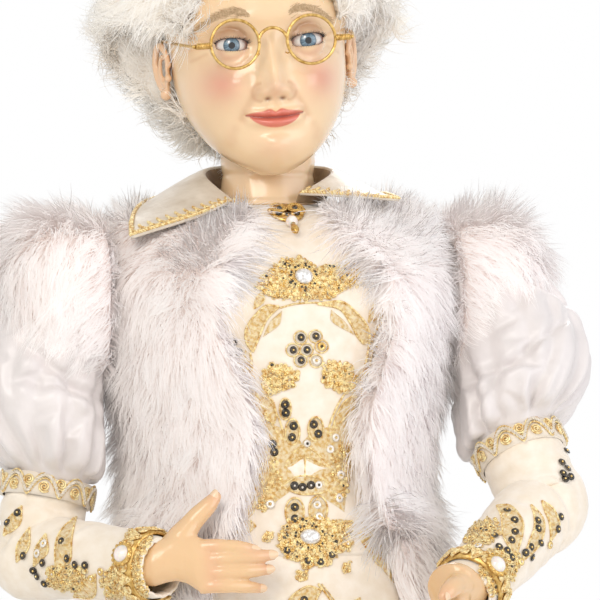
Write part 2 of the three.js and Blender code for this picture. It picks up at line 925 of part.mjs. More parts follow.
// The face's forms, as soft swellings: place across, rise, width, height and how far out.
const faceForms = [
  [0, eyeRise - 22, 7.5, 7, 9],
  [0, eyeRise - 11, 6, 12, 5],
  [-22, eyeRise - 24, 15, 14, 3],
  [22, eyeRise - 24, 15, 14, 3],
  [-16, eyeRise + 13, 13, 5, 2],
  [16, eyeRise + 13, 13, 5, 2],
  [-eyeSpacing, eyeRise - 1, 8, 6, -4],
  [eyeSpacing, eyeRise - 1, 8, 6, -4],
  [0, eyeRise - 35, 9, 2.6, 2.6],
  [0, eyeRise - 40, 7.5, 2.6, 2.8],
  [0, chinRise + 9, 9, 7, 4],
];
const headSteps = [0, 3, 8, 15, 20, 22.5, 25, 28, 33, 39, 46, 53, 60, 70, 83, 101, 114, 123];
const headRows = headSteps.map(
  (up) => chinRise - 3 + (up * (crownRise - chinRise + 3)) / headSteps.at(-1),
);
const faceSteps = 16;
const backSteps = 8;

function headSection(rise) {
  const last = headSections.length - 2;
  const k = Math.min(last, Math.max(0, headSections.findLastIndex((row) => row[0] <= rise + 1e-6)));
  const [below, above] = [headSections[k], headSections[k + 1]];
  const t = (rise - below[0]) / (above[0] - below[0]);
  return below.map((value, i) => value + (above[i] - value) * t);
}

function headPoint(angle, rise, gap) {
  const [, half, front, back] = headSection(rise);
  const out = rise > eyeRise ? gap : -gap;
  const middle = (front + back) / 2;
  const x = (half + gap) * Math.sin(angle);
  let y = middle - ((back - front) / 2 + gap) * Math.cos(angle);
  if (Math.cos(angle) > 0) {
    faceForms.forEach(([across, up, wide, high, depth]) => {
      const swell = Math.exp(-(((x - across) / wide) ** 2) - ((rise - up) / high) ** 2);
      y -= depth * swell * Math.min(1, 2 * Math.cos(angle));
    });
  }
  return vec(x, y, rise + out);
}

function skull(gap) {
  const angles = [];
  for (let i = 0; i < faceSteps; i++) angles.push(-90 + (180 * i) / faceSteps);
  for (let i = 0; i < backSteps; i++) angles.push(90 + (180 * i) / backSteps);
  return loft(headRows.map((rise) => angles.map((a) => headPoint(a * DEGREE, rise, gap))));
}

const ears = [-1, 1].map((side) => vec(side * (skullWidth + 0.5), 4, eyeRise - 11));
function makeHead() {
  const shells = ears.map((at) => ellipsoid(at, vec(4, 9, earRadius), 8, 6));
  const sockets = eyes().map((at) => eyeball(at, fit));
  const face = joined(skull(0), ...shells).subtract(joined(...sockets));
  const neck = turned([
    [0, fit - neckPegLength],
    [neckPegRadius, fit - neckPegLength],
    [neckPegRadius, 1],
    [neckRadius + 1, 1],
    [neckRadius, 8],
    [neckRadius, 34],
    [0, 34],
  ], 18, vec(0, 0, neckBase));
  return headPlaced(face).add(neck);
}

function eyes() {
  return [-1, 1].map((side) => vec(side * eyeSpacing, -faceFront + eyeRadius + 2.5, eyeRise));
}

function eyeball(at, gap) {
  const radius = eyeRadius + gap;
  return ellipsoid(at, vec(radius, radius, radius), 10, 6);
}

function makeWig() {
  const geometry = new THREE.SphereGeometry(1, 20, 10);
  geometry.rotateX(Math.PI / 2);
  const position = geometry.attributes.position;
  for (let i = 0; i < position.count; i++) {
    const p = new THREE.Vector3().fromBufferAttribute(position, i);
    const around = Math.atan2(p.y, p.x);
    const up = Math.asin(Math.min(1, Math.max(-1, p.z)));
    const curl = Math.cos(6 * around) * Math.cos(5 * up) * Math.cos(up) * curlDepth;
    p.set(p.x * (hairSide + curl), p.y * (hairDepth + curl), p.z * (hairHeight + curl));
    position.setXYZ(i, p.x, p.y + hairBack, p.z + hairRise);
  }
  const mass = solidOf(geometry);
  const nape = ellipsoid(vec(0, 26, eyeRise - 24), vec(56, 38, 38), 14, 8);
  const faceWedge = block(vec(-far, -far, -far), vec(far, 0, 20));
  const wedge = faceWedge
    .rotate([30, 0, 0])
    .translate([0, -faceFront + 2, eyeRise + 34]);
  const earRoom = ears.map((at) =>
    ellipsoid(vec(at.x * 1.25, at.y - 15, at.z + 1), vec(31, 37, 28), 10, 6),
  );
  const wig = mass.add(nape).subtract(joined(skull(fit + 0.2), wedge, ...earRoom));
  const whole = headPlaced(biggest(wig));
  return whole.subtract(
    turned([[0, 0], [neckRadius + 2, 0], [neckRadius + 2, 60], [0, 60]], 32, vec(0, 0, neckBase)),
  );
}

function biggest(solid) {
  return solid.decompose().sort((a, b) => b.volume() - a.volume())[0];
}

// Spectacles: two rims and a bridge in one piece, and a side wire on each end of it

const bridgeRise = eyeRise + 5.5;
const rimCentre = (side) => vec(side * eyeSpacing, -rimForward, eyeRise);
const endPiece = (side) => vec(side * (eyeSpacing + rimRadius + 3.5), -rimForward, eyeRise);
function makeSpectacleFront() {
  const rims = [-1, 1].map((side) => {
    const rim = new THREE.TorusGeometry(rimRadius, wireRadius, 5, 18);
    rim.rotateX(Math.PI / 2);
    const at = rimCentre(side);
    rim.translate(at.x, at.y, at.z);
    return solidOf(rim);
  });
  const inner = eyeSpacing - rimRadius;
  const arch = wire(
    [
      vec(-inner, -rimForward, eyeRise + 2),
      vec(-inner * 0.6, -rimForward + 2, eyeRise + 5),
      headPoint(0, bridgeRise, wireRadius + fit),
      vec(inner * 0.6, -rimForward + 2, eyeRise + 5),
      vec(inner, -rimForward, eyeRise + 2),
    ],
    wireRadius, 5, 8,
  );
  const coils = [-1, 1].map((side) => {
    const profile = [[0, -4], [coilRadius, -4], [coilRadius, 4], [0, 4]];
    return turned(profile, 8, endPiece(side), vec(1, 0, 0));
  });
  return headPlaced(joined(...rims, arch, ...coils));
}

function makeTemple(side) {
  const start = endPiece(side).add(vec(side * 2, coilRadius + fit, 0));
  const end = ears[side < 0 ? 0 : 1].clone();
  end.z += earRadius + wireRadius + fit;
  const middle = start.clone().lerp(end, 0.5).add(vec(side * 1.5, 0, 0));
  return headPlaced(wire([start, middle, end], wireRadius, 6, 8));
}

// Arms

function limb(from, to, radii, around) {
  const along = to.clone().sub(from).normalize();
  const sideways = along.clone().cross(vec(0, 1, 0)).normalize();
  const upwards = along.clone().cross(sideways);
  const rings = radii.map(([t, radius]) =>
    ringAround(from.clone().lerp(to, t), sideways, upwards, () => radius, () => radius, around),
  );
  return loft(rings);
}

const bandCentre = (arm) => arm.elbow.clone().addScaledVector(arm.upper, -elbowGap);

function upperArmBody(arm, gap) {
  const reach = arm.elbow.clone().sub(arm.shoulder).length();
  const end = 1 - (elbowRadius + 4) / reach;
  const radius = upperArmRadius + gap;
  const start = arm.shoulder.clone();
  return limb(start, arm.elbow, [
    [-0.1, radius * 0.7],
    [0, radius],
    [end * 0.5, radius * 0.95],
    [end + (gap ? 0.3 : 0), radius * 0.85],
  ], 16);
}

function makeUpperArm(arm) {
  const body = arm.clip(upperArmBody(arm, 0));
  const bore = turned(
    [[0, 0], [yokeRadius + fit, 0], [yokeRadius + fit, yokeReach + fit], [0, yokeReach + fit]],
    16, vec(0, 0, yokeHeight), vec(arm.side, 0, 0),
  );
  return body.subtract(bore);
}

// The full sleeve between the shoulder and the braid, drawn in with soft folds.
function puffBody(arm, gap) {
  const steps = [
    [-0.05, 0.45],
    [0.08, 0.72],
    [0.25, 0.92],
    [0.45, 1],
    [0.65, 1.04],
    [0.82, 1],
    [0.94, 0.84],
    [1, 0.62],
  ];
  const band = bandCentre(arm).addScaledVector(arm.upper, -braidWidth / 2 - fit);
  const sideways = vec(1, 0, 0).addScaledVector(arm.upper, -arm.upper.x).normalize();
  const upwards = arm.upper.clone().cross(sideways);
  const rings = steps.map(([t, full]) => {
    const centre = arm.shoulder.clone().lerp(band, t);
    centre.x += arm.side * puffBulge * Math.sin(Math.PI * Math.min(1, Math.max(0, t)));
    const fold = (a) => 1 + 0.045 * Math.cos(puffFolds * a);
    return ringAround(
      centre, sideways, upwards,
      (a) => puffWidth * full * fold(a) + gap, (a) => puffDepth * full * fold(a) + gap, 2 * puffFolds,
    );
  });
  return loft(rings);
}

// The room that the lower sleeve takes when the elbow is bent by an angle.
function bentFore(arm, angle) {
  const geometry = geometryOf(limb(arm.elbow, arm.wrist, foreRadii(sweepGap), foreSides));
  geometry.translate(-arm.elbow.x, -arm.elbow.y, -arm.elbow.z);
  const turn = new THREE.Quaternion().setFromAxisAngle(arm.bendAxis, angle * DEGREE);
  geometry.applyQuaternion(turn);
  geometry.translate(arm.elbow.x, arm.elbow.y, arm.elbow.z);
  return solidOf(geometry);
}

const foreSides = 12;
const foreRadii = (gap) => [
  [0, elbowRadius - 1.5 + gap],
  [0.5, (elbowRadius + wristRadius) / 2 + 1 + gap],
  [0.93, wristRadius + gap],
  [1, wristRadius - 1 + gap],
];

function foreSleeve(arm) {
  const round = vec(elbowRadius, elbowRadius, elbowRadius);
  const ball = ellipsoid(arm.elbow, round, foreSides, foreSides / 2);
  return ball.add(limb(arm.elbow, arm.wrist, foreRadii(0), foreSides));
}

function makePuffSleeve(arm) {
  const room = joined(upperArmBody(arm, clothGap), yokeBore);
  return biggest(arm.clip(puffBody(arm, 0)).subtract(room));
}

const braidSegments = 18;
function ringBand(centre, along, inner, thickness, width) {
  const half = width / 2;
  return turned([
    [inner, -half],
    [inner + thickness * 0.7, -half],
    [inner + thickness, 0],
    [inner + thickness * 0.7, half],
    [inner, half],
    [inner, -half],
  ], braidSegments, centre, along);
}

function makeElbowBraid(arm) {
  return ringBand(bandCentre(arm), arm.upper, braidRadius - braidThickness, braidThickness, braidWidth);
}

// The short stretch of sleeve under the braid, hollowed for the elbow's ball.
function makeSleeveElbow(arm) {
  const outer = braidRadius - braidThickness - fit;
  const inner = upperArmRadius * 0.85 + clothGap + fit;
  const top = elbowGap + braidWidth / 2 - fit;
  const hollow = elbowRadius + sweepGap;
  const arc = [0, 0.35, 0.7, 1].map((t) => {
    const radius = outer + (inner - outer) * t;
    return [radius, -Math.sqrt(hollow ** 2 - radius ** 2)];
  });
  const profile = [[inner, -top], [outer, -top], ...arc, [inner, -top]];
  const cup = turned(profile, braidSegments, arm.elbow, arm.upper);
  const raised = [0, arm.bendUp].map((angle) => bentFore(arm, angle));
  return biggest(cup.subtract(joined(...raised)));
}

function makeForearm(arm) {
  return limb(arm.elbow, arm.wrist, [
    [0.1, forearmRadius],
    [0.4, forearmRadius + 1],
    [forearmEnd(arm), forearmRadius - 1],
  ], 12);
}

function forearmEnd(arm) {
  return 1 - handPegLength / arm.wrist.distanceTo(arm.elbow);
}

function makeLowerSleeve(arm) {
  const lining = limb(arm.elbow, arm.wrist, [
    [0.1 - 0.005, forearmRadius + fit],
    [0.4, forearmRadius + 1 + fit],
    [forearmEnd(arm), forearmRadius - 1 + fit],
    [0.9, forearmRadius - 1 + fit],
    [0.96, wristRadius - 2.2],
    [1.1, wristRadius - 2.2],
  ], 12);
  return foreSleeve(arm).subtract(lining);
}

const cuffInner = wristRadius + fit + 1.2;
const cuffCentre = (arm) => arm.elbow.clone().lerp(arm.wrist, 0.9);
function makeCuffBraid(arm) {
  return ringBand(cuffCentre(arm), arm.fore, cuffInner, cuffThickness, cuffWidth);
}

function makeCuffJewel(arm) {
  const facing = vec(0, -1, 0.15).addScaledVector(arm.fore, -arm.fore.dot(vec(0, -1, 0.15)));
  facing.normalize();
  const at = cuffCentre(arm).addScaledVector(facing, cuffInner + cuffThickness + fit);
  return makeStone(at, facing, cuffCrystalRadius);
}

// A hand: u runs along the fingers, v towards the thumb, w out of the back of the hand.
function makeHand(arm) {
  const u = arm.fingers.clone().normalize();
  const w = arm.palmFaces.clone().negate();
  w.addScaledVector(u, -w.dot(u)).normalize();
  const v = w.clone().cross(u).multiplyScalar(-arm.side).normalize();
  const at = (a, b, c) =>
    arm.wrist.clone().addScaledVector(u, a).addScaledVector(v, b).addScaledVector(w, c);
  const palmRing = (a, width, thick, drop) =>
    ringAround(at(a, 0, drop), v, w, () => width / 2, () => thick / 2, 12);
  const palm = loft([
    palmRing(-1, 14, 12, 0),
    palmRing(5, palmWidth * 0.55, palmThickness - 1, 0),
    palmRing(12, palmWidth * 0.85, palmThickness, 0),
    palmRing(palmLength * 0.6, palmWidth, palmThickness, -0.5),
    palmRing(palmLength, palmWidth - 2, palmThickness - 3, -1),
  ]);
  const finger = (offset, length, curl) => {
    const base = at(palmLength - 5, offset, -1);
    const knuckle = at(palmLength + length * 0.45, offset * 1.1, -curl * 0.3);
    const tip = at(palmLength + length * 0.9, offset * 1.12, -curl);
    const path = [base, knuckle, tip];
    const rings = path.map((p, i) =>
      ringAround(p, v, w, () => fingerRadius - 0.5 * i, () => fingerRadius - 0.5 * i, 6),
    );
    rings.push(ringAround(
      tip.clone().addScaledVector(u, 2.4), v, w, () => 1.4, () => 1.4, 6,
    ));
    return loft(rings);
  };
  const fingers = fingerLengths.map((length, i) =>
    finger(palmWidth * (0.36 - 0.24 * i), length, 5 + 3 * i),
  );
  const thumbPath = [at(13, 8, -1), at(22, 20, -3), at(32, 28, -4), at(35, 30.5, -4.2)];
  const thumbRadii = [5.6, 4.6, 3.6, 1.4];
  const acrossThumb = u.clone().add(v).cross(w).normalize();
  const thumb = loft(thumbPath.map((p, i) =>
    ringAround(p, w, acrossThumb, () => thumbRadii[i], () => thumbRadii[i], 8),
  ));
  const pegAt = arm.wrist.clone().addScaledVector(arm.fore, -handPegLength + fit);
  const pegEnd = handPegLength + 4;
  const pegSide = [[0, 0], [handPegRadius, 0], [handPegRadius, pegEnd], [0, pegEnd]];
  const peg = turned(pegSide, 12, pegAt, arm.fore);
  return joined(palm, ...fingers, thumb, peg);
}

// The stiff fur wing over each shoulder
function makeFurCap(arm) {
  const inner = armSplit + 14;
  const centre = vec(arm.side * inner, 0, capTop - capDrop);
  const wing = ellipsoid(centre, vec(capReach - inner, capDepth, capDrop), 16, 8, 0.7);
  const lower = block(vec(-far, -far, -far), vec(far, far, 0))
    .rotate([0, arm.side * -50, 0])
    .translate([arm.side * (armSplit + 12), 0, capTop - 2.2 * capDrop]);
  const room = joined(puffBody(arm, clothGap), upperArmBody(arm, clothGap));
  return biggest(arm.clip(wing).subtract(joined(room, lower, yokeBore)));
}

// Colours and finishes

const finishes = {
  felt: [0x6e2a2e, 0.95, 0],
  board: [0x6a4326, 0.5, 0],
  steel: [0xb9bcc0, 0.35, 1],
  leather: [0x2c211d, 0.4, 0],
  muslin: [0xe6d9c4, 0.9, 0],
  velvet: [0xeadfc9, 0.85, 0],
  satin: [0xd9dadf, 0.35, 0],
  fur: [0xf0e4e1, 0.95, 0],
  gold: [0xb98f3c, 0.35, 0.9],
  crystal: [0xe9edee, 0.1, 0],
  resin: [0xe9c69a, 0.3, 0],
  hair: [0xf3efe8, 0.9, 0],
  eye: [0x6b7f8c, 0.1, 0],
};

const doll = new THREE.Group();

function addPiece(name, finish, solid) {
  const [color, roughness, metalness] = finishes[finish];
  const material = new THREE.MeshStandardMaterial({ color, roughness, metalness });
  const mesh = new THREE.Mesh(geometryOf(solid), material);
  mesh.name = name;
  doll.add(mesh);
}

addPiece("base_felt", "felt", makeFelt());
addPiece("base_board", "board", makeBoard());
addPiece("stand_socket", "steel", makeSocket());
screwPlaces().forEach((at, i) => addPiece(`socket_screw_${i + 1}`, "steel", makeScrew(at)));
addPiece("stand_rod", "steel", makeRod(0));
addPiece("boot_right", "leather", makeBoot(-1));
addPiece("boot_left", "leather", makeBoot(1));
addPiece("leg_right", "muslin", makeLeg(-1));
addPiece("leg_left", "muslin", makeLeg(1));
addPiece("hip_block", "muslin", makeHipBlock());
addPiece("torso_form", "muslin", makeTorso());
addPiece("shoulder_yoke", "steel", makeYoke());
addPiece("neck_socket", "board", makeNeckSocket());
addPiece("bodice", "velvet", makeBodice());
addPiece("gown_skirt", "velvet", makeGownSkirt());
addPiece("belt", "gold", makeBelt());
addPiece("coat_skirt", "satin", makeCoatSkirt());
addPiece("coat_back", "satin", makeCoatBack());
addPiece("vest_front_right", "fur", makeVestFront(-1));
addPiece("vest_front_left", "fur", makeVestFront(1));
addPiece("cape_back", "fur", makeCapeBack());
addPiece("coat_fur_right", "fur", makeCoatFur(-1));
addPiece("coat_fur_left", "fur", makeCoatFur(1));
addPiece("hem_fur", "fur", makeHemFur());
addPiece("collar", "satin", makeCollar());
addPiece("neck_clasp", "gold", makeClasp());
addPiece("pearl_drop", "crystal", makePearlDrop());
addPiece("bodice_brooch", "gold", makePlaque(chestHeight, bodicePlaqueWidth, plaqueLow));
addPiece("bodice_crystal", "crystal", stoneOnDress(chestHeight, bustCrystalRadius, plaqueLow, 1));
addPiece("belt_brooch", "gold", makePlaque(beltMiddle, beltPlaqueWidth, beltPlaqueLow));
addPiece("belt_crystal", "crystal", stoneOnDress(beltMiddle, beltCrystalRadius, beltPlaqueLow, 1.2));
addPiece("head", "resin", makeHead());
addPiece("wig", "hair", makeWig());
eyes().forEach((at, i) => addPiece(["eye_right", "eye_left"][i], "eye", headPlaced(eyeball(at, 0))));
addPiece("spectacle_front", "gold", makeSpectacleFront());
addPiece("temple_right", "gold", makeTemple(-1));
addPiece("temple_left", "gold", makeTemple(1));
arms.forEach((arm) => {
  addPiece(`upper_arm_${arm.name}`, "muslin", makeUpperArm(arm));
  addPiece(`puff_sleeve_${arm.name}`, "satin", makePuffSleeve(arm));
  addPiece(`fur_cap_${arm.name}`, "fur", makeFurCap(arm));
  addPiece(`elbow_braid_${arm.name}`, "gold", makeElbowBraid(arm));
  addPiece(`sleeve_elbow_${arm.name}`, "velvet", makeSleeveElbow(arm));
  addPiece(`forearm_${arm.name}`, "muslin", makeForearm(arm));
  addPiece(`lower_sleeve_${arm.name}`, "velvet", makeLowerSleeve(arm));
  addPiece(`cuff_braid_${arm.name}`, "gold", makeCuffBraid(arm));
  addPiece(`cuff_jewel_${arm.name}`, "crystal", makeCuffJewel(arm));
  addPiece(`hand_${arm.name}`, "resin", makeHand(arm));
});

export default doll;
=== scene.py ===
"""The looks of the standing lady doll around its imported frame.

Shapes are worked out in millimetres in the frame's own axes, and meshes are made in metres.
"""

import math

import bpy
import numpy as np
from mathutils import Matrix, Vector
from mathutils.bvhtree import BVHTree
from mathutils.kdtree import KDTree


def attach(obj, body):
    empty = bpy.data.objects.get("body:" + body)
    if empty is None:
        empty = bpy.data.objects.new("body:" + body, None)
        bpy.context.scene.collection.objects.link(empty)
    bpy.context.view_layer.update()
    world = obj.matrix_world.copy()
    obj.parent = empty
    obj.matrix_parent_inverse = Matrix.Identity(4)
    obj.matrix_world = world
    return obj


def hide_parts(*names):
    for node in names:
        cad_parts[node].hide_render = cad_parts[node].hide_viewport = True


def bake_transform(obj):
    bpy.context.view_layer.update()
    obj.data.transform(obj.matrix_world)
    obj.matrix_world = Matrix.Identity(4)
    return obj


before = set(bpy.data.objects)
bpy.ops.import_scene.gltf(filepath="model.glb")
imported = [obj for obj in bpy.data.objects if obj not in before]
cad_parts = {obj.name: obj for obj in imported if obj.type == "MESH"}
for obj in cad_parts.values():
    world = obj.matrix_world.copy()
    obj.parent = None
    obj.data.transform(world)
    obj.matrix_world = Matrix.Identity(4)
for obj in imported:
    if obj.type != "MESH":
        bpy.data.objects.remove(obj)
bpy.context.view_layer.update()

MM = 0.001
TAU = 2 * math.pi
SIDES = ((-1, "right"), (1, "left"))

# The photograph's frame: half a millimetre to a picture point at the doll's middle
CAMERA_AZIMUTH = math.radians(-14)
CAMERA_DISTANCE = 4200.0
FRAME_WIDTH = 300.0
FRAME_POINTS = 600
CAMERA_TARGET = np.array([15.5, -3.9, 426.5])


def vec(x, y, z):
    return np.array([x, y, z], float)


def unit(a):
    a = np.asarray(a, float)
    return a / np.maximum(np.linalg.norm(a, axis=-1, keepdims=True), 1e-12)


BACK = vec(math.sin(CAMERA_AZIMUTH), -math.cos(CAMERA_AZIMUTH), 0)
RIGHT = vec(math.cos(CAMERA_AZIMUTH), math.sin(CAMERA_AZIMUTH), 0)
UP = vec(0, 0, 1)
EYE = CAMERA_TARGET + BACK * CAMERA_DISTANCE


def smooth(t):
    t = np.clip(t, 0, 1)
    return t * t * (3 - 2 * t)


def bell(x, width):
    return np.exp(-((x / width) ** 2))


def spot(x, wide, y, high):
    """A bell over two directions."""
    return np.exp(-((x / wide) ** 2) - (y / high) ** 2)


def full_turn(count):
    """Angles in even steps round a circle, each place once."""
    return np.linspace(0, TAU, count + 1)[:-1]


def turn_between(a, b):
    """The angle from b to a, the short way round."""
    return np.angle(np.exp(1j * (a - b)))


# Colours and materials


def rgb(code):
    parts = [int(code[i : i + 2], 16) / 255 for i in (1, 3, 5)]
    linear = [c / 12.92 if c <= 0.04045 else ((c + 0.055) / 1.055) ** 2.4 for c in parts]
    return (*linear, 1)


def tone_of(code):
    """A colour as it is written on a mesh."""
    return np.array(rgb(code)[:3])


class Nodes:
    """A principled material and short ways to feed its sockets."""

    def __init__(self, name, color, rough, **sockets):
        self.material = bpy.data.materials.new(name)
        self.material.use_nodes = True
        self.tree = self.material.node_tree
        self.shader = self.tree.nodes["Principled BSDF"]
        self.shader.inputs["Base Color"].default_value = rgb(color)
        self.shader.inputs["Roughness"].default_value = rough
        for socket, value in sockets.items():
            self.shader.inputs[socket.replace("_", " ")].default_value = value
        self.material.diffuse_color = rgb(color)
        self.height = None

    def node(self, kind, **values):
        made = self.tree.nodes.new("ShaderNode" + kind)
        for key, value in values.items():
            if key in made.inputs:
                made.inputs[key].default_value = value
            else:
                setattr(made, key, value)
        return made

    def link(self, a, b):
        self.tree.links.new(a, b)

    def where(self, output, scale=(1, 1, 1)):
        place = self.node("TexCoord")
        mapping = self.node("Mapping")
        mapping.inputs["Scale"].default_value = scale
        self.link(place.outputs[output], mapping.inputs["Vector"])
        return mapping.outputs["Vector"]

    def noise(self, scale, detail, stretch=(1, 1, 1)):
        made = self.node("TexNoise", Scale=scale, Detail=detail)
        self.link(self.where("Object", stretch), made.inputs["Vector"])
        return made.outputs["Fac"]

    def waves(self, scale, output="UV", distortion=0.0, direction="X", stretch=(1, 1, 1)):
        made = self.node("TexWave", Scale=scale, Distortion=distortion, bands_direction=direction)
        self.link(self.where(output, stretch), made.inputs["Vector"])
        return made.outputs["Fac"]

    def cells(self, scale):
        made = self.node("TexVoronoi", Scale=scale)
        self.link(self.where("Object"), made.inputs["Vector"])
        return made.outputs["Distance"]

    def pattern(self, spec):
        """A pattern named by its method, noise, waves or cells, and the method's arguments."""
        method, *values = spec
        return {"noise": self.noise, "waves": self.waves, "cells": self.cells}[method](*values)

    def tint(self, factor, dark, light, low=0.3, high=0.7):
        ramp = self.node("ValToRGB")
        ramp.color_ramp.elements[0].position = low
        ramp.color_ramp.elements[1].position = high
        ramp.color_ramp.elements[0].color = rgb(dark)
        ramp.color_ramp.elements[1].color = rgb(light)
        self.link(factor, ramp.inputs["Fac"])
        self.link(ramp.outputs["Color"], self.shader.inputs["Base Color"])

    def painted(self, factor, amount):
        """The colour written on the mesh, with a little grain over it."""
        paint = self.node("Attribute", attribute_name="paint")
        mix = self.node("Mix", data_type="RGBA", blend_type="MULTIPLY")
        mix.inputs[0].default_value = amount
        self.link(paint.outputs["Color"], mix.inputs[6])
        self.link(factor, mix.inputs[7])
        self.link(mix.outputs[2], self.shader.inputs["Base Color"])

    def bump(self, factor, strength, distance):
        made = self.node("Bump", Strength=strength, Distance=distance)
        self.link(factor, made.inputs["Height"])
        if self.height is not None:
            self.link(self.height, made.inputs["Normal"])
        self.height = made.outputs["Normal"]
        self.link(self.height, self.shader.inputs["Normal"])

    def rough(self, factor, low, high):
        scaled = self.node("MapRange")
        scaled.inputs["To Min"].default_value = low
        scaled.inputs["To Max"].default_value = high
        self.link(factor, scaled.inputs["Value"])
        self.link(scaled.outputs["Result"], self.shader.inputs["Roughness"])


MATERIALS = {}


def look(name, slot, color, rough, tint=None, grain=None, bumps=(), gloss=None, **sockets):
    """A material. Its slot argument is not used.

    tint is a pattern with a dark and a light colour. grain is a pattern over the colour on the mesh, and
    its share. Each bump is a pattern, a strength and a distance. gloss is a pattern and two roughnesses.
    """
    made = Nodes(name, color, rough, **sockets)
    if tint:
        made.tint(made.pattern(tint[0]), *tint[1:])
    if grain:
        made.painted(made.pattern(grain[0]), grain[1])
    for pattern, strength, distance in bumps:
        made.bump(made.pattern(pattern), strength, distance)
    if gloss:
        made.rough(made.pattern(gloss[0]), *gloss[1:])
    MATERIALS[name] = made.material


# Cloth: velvet, satin, the collar's lining, whose dark brown is painted shade, the wadding's muslin and the
# base's felt

look("velvet", "velvet", "#efe2cc", 0.9, (("noise", 140, 5), "#f0e3cf", "#f9f0e2"),
     bumps=[(("noise", 2600, 2), 0.25, 0.0004), (("noise", 120, 4), 0.2, 0.0012)],
     Sheen_Weight=0.5, Sheen_Roughness=0.4)
look("velvet_light", "velvet", "#f8efe0", 0.85, (("noise", 300, 4), "#efe2cd", "#fcf6ea"),
     bumps=[(("noise", 1500, 3), 0.3, 0.0004)], Sheen_Weight=0.5)
look("satin", "satin", "#eae4e1", 0.3, (("noise", 60, 3), "#e0dad8", "#eae4e2"),
     bumps=[(("waves", 900, "UV", 0.4), 0.06, 0.0002), (("noise", 70, 5, (1, 1, 0.5)), 0.35, 0.0015)],
     gloss=(("noise", 300, 3), 0.24, 0.42), Sheen_Weight=0.25, Anisotropic=0.5)
look("collar_satin", "satin", "#ddd3c2", 0.34, (("noise", 90, 4), "#cbbda8", "#e8dfd0"),
     bumps=[(("noise", 260, 4), 0.35, 0.0008)], Sheen_Weight=0.25, Anisotropic=0.4)
# The collar stand's lining: a dark brown that is painted shade inside the stand
look("lining", "satin", "#8a6f50", 0.5, (("noise", 120, 4), "#6d5439", "#a58a66"),
     bumps=[(("noise", 400, 4), 0.3, 0.0005)], Sheen_Weight=0.2)
look("muslin", "muslin", "#e6d9c4", 0.9, (("noise", 70, 5), "#d6c6ad", "#eee3d1"),
     bumps=[(("waves", 450, "Object"), 0.3, 0.0003), (("waves", 450, "Object", 0.0, "Z"), 0.3, 0.0003)],
     Sheen_Weight=0.2)
look("felt", "felt", "#6e2a2e", 0.95, (("noise", 300, 6), "#561f23", "#80363a"),
     bumps=[(("noise", 900, 6), 0.6, 0.0008)], Sheen_Weight=0.3)

# Fur and hair, each with the skin that it grows on

look("fur", "fur", "#f2e6e3", 0.75, grain=(("noise", 400, 2), 0.1), Sheen_Weight=0.15)
look("fur_skin", "fur", "#d9c6c0", 0.95, (("noise", 250, 4), "#e9dbd5", "#f5ebe7"),
     bumps=[(("noise", 500, 6), 0.8, 0.003)])
look("hair", "hair", "#f3efe8", 0.6, grain=(("noise", 300, 2), 0.08), Sheen_Weight=0.15)
look("hair_skin", "hair", "#e4dcd0", 0.9, (("noise", 160, 5), "#e9e1d5", "#f8f4ec"),
     bumps=[(("noise", 350, 6), 0.9, 0.003)])
look("lash", "hair", "#2a1d18", 0.6, (("noise", 800, 2), "#1c1310", "#3b2a22"))
look("brow", "hair", "#c4a680", 0.7, (("noise", 900, 2), "#b0906a", "#d8bd98"))

# The painted resin of the head and hands, and the eyes

look("resin", "resin", "#e9c79c", 0.27, grain=(("noise", 45, 4), 0.12),
     bumps=[(("noise", 90, 4), 0.06, 0.0008), (("noise", 900, 3), 0.05, 0.0002)],
     Subsurface_Weight=0.12, Subsurface_Scale=0.003, Subsurface_Radius=(1.0, 0.5, 0.3),
     Coat_Weight=0.5, Coat_Roughness=0.12)
look("eye", "eye", "#f1ece6", 0.08, grain=(("noise", 600, 3), 0.06), Coat_Weight=0.8,
     Coat_Roughness=0.03)

# Trims: gold metal, threads, nets, sequins, pearls and cut stones

look("gold", "gold", "#d8ad57", 0.3, (("noise", 500, 5), "#a87a30", "#f2d188", 0.25, 0.75),
     bumps=[(("noise", 1500, 3), 0.3, 0.0003)], gloss=(("noise", 700, 3), 0.2, 0.45), Metallic=0.9)
look("gold_thread", "gold", "#eec873", 0.34, (("noise", 600, 5), "#c8923a", "#fff0b8", 0.32, 0.62),
     bumps=[(("waves", 700, "UV", 0.0, "DIAGONAL"), 0.7, 0.0004)], Metallic=0.3, Sheen_Weight=0.2)
look("gold_net", "gold", "#f2d595", 0.55, (("noise", 600, 5), "#e6bd6c", "#fbeac4", 0.36, 0.62),
     bumps=[(("waves", 800, "Object", 0.0, way), 0.5, 0.0003) for way in ("DIAGONAL", "Z")],
     Sheen_Weight=0.3)
look("cream_cord", "satin", "#f3ead9", 0.5, (("noise", 500, 4), "#dccdb2", "#faf4e8"),
     bumps=[(("waves", 900, "Object", 0.0, "DIAGONAL"), 0.5, 0.0003)], Sheen_Weight=0.4)
SEQUIN_GRAIN = (("noise", 900, 2), 0.15, 0.0003)
look("dark_sequin", "crystal", "#2b2723", 0.16, (("noise", 260, 3), "#15130f", "#4b4032"),
     bumps=[SEQUIN_GRAIN], Metallic=0.6, Coat_Weight=0.6)
look("pale_sequin", "crystal", "#efe9df", 0.2, (("noise", 260, 3), "#d8cfc0", "#fbf7f0"),
     bumps=[SEQUIN_GRAIN], Metallic=0.2, Coat_Weight=0.6)
look("gold_sequin", "gold", "#ecc872", 0.18, (("noise", 300, 3), "#cf9f48", "#fbe6a6"),
     bumps=[SEQUIN_GRAIN], Metallic=0.7)
look("pearl", "crystal", "#eee7de", 0.18, (("noise", 220, 3), "#e0d4cc", "#f8f3ec"),
     Coat_Weight=0.8, Coat_Roughness=0.08, Subsurface_Weight=0.2, Subsurface_Scale=0.002)
look("crystal", "crystal", "#fbfaf8", 0.05, (("noise", 700, 2), "#d5d2ce", "#ffffff", 0.42, 0.6),
     Metallic=0.35, IOR=1.7, Coat_Weight=0.6)

# The stand and the boots

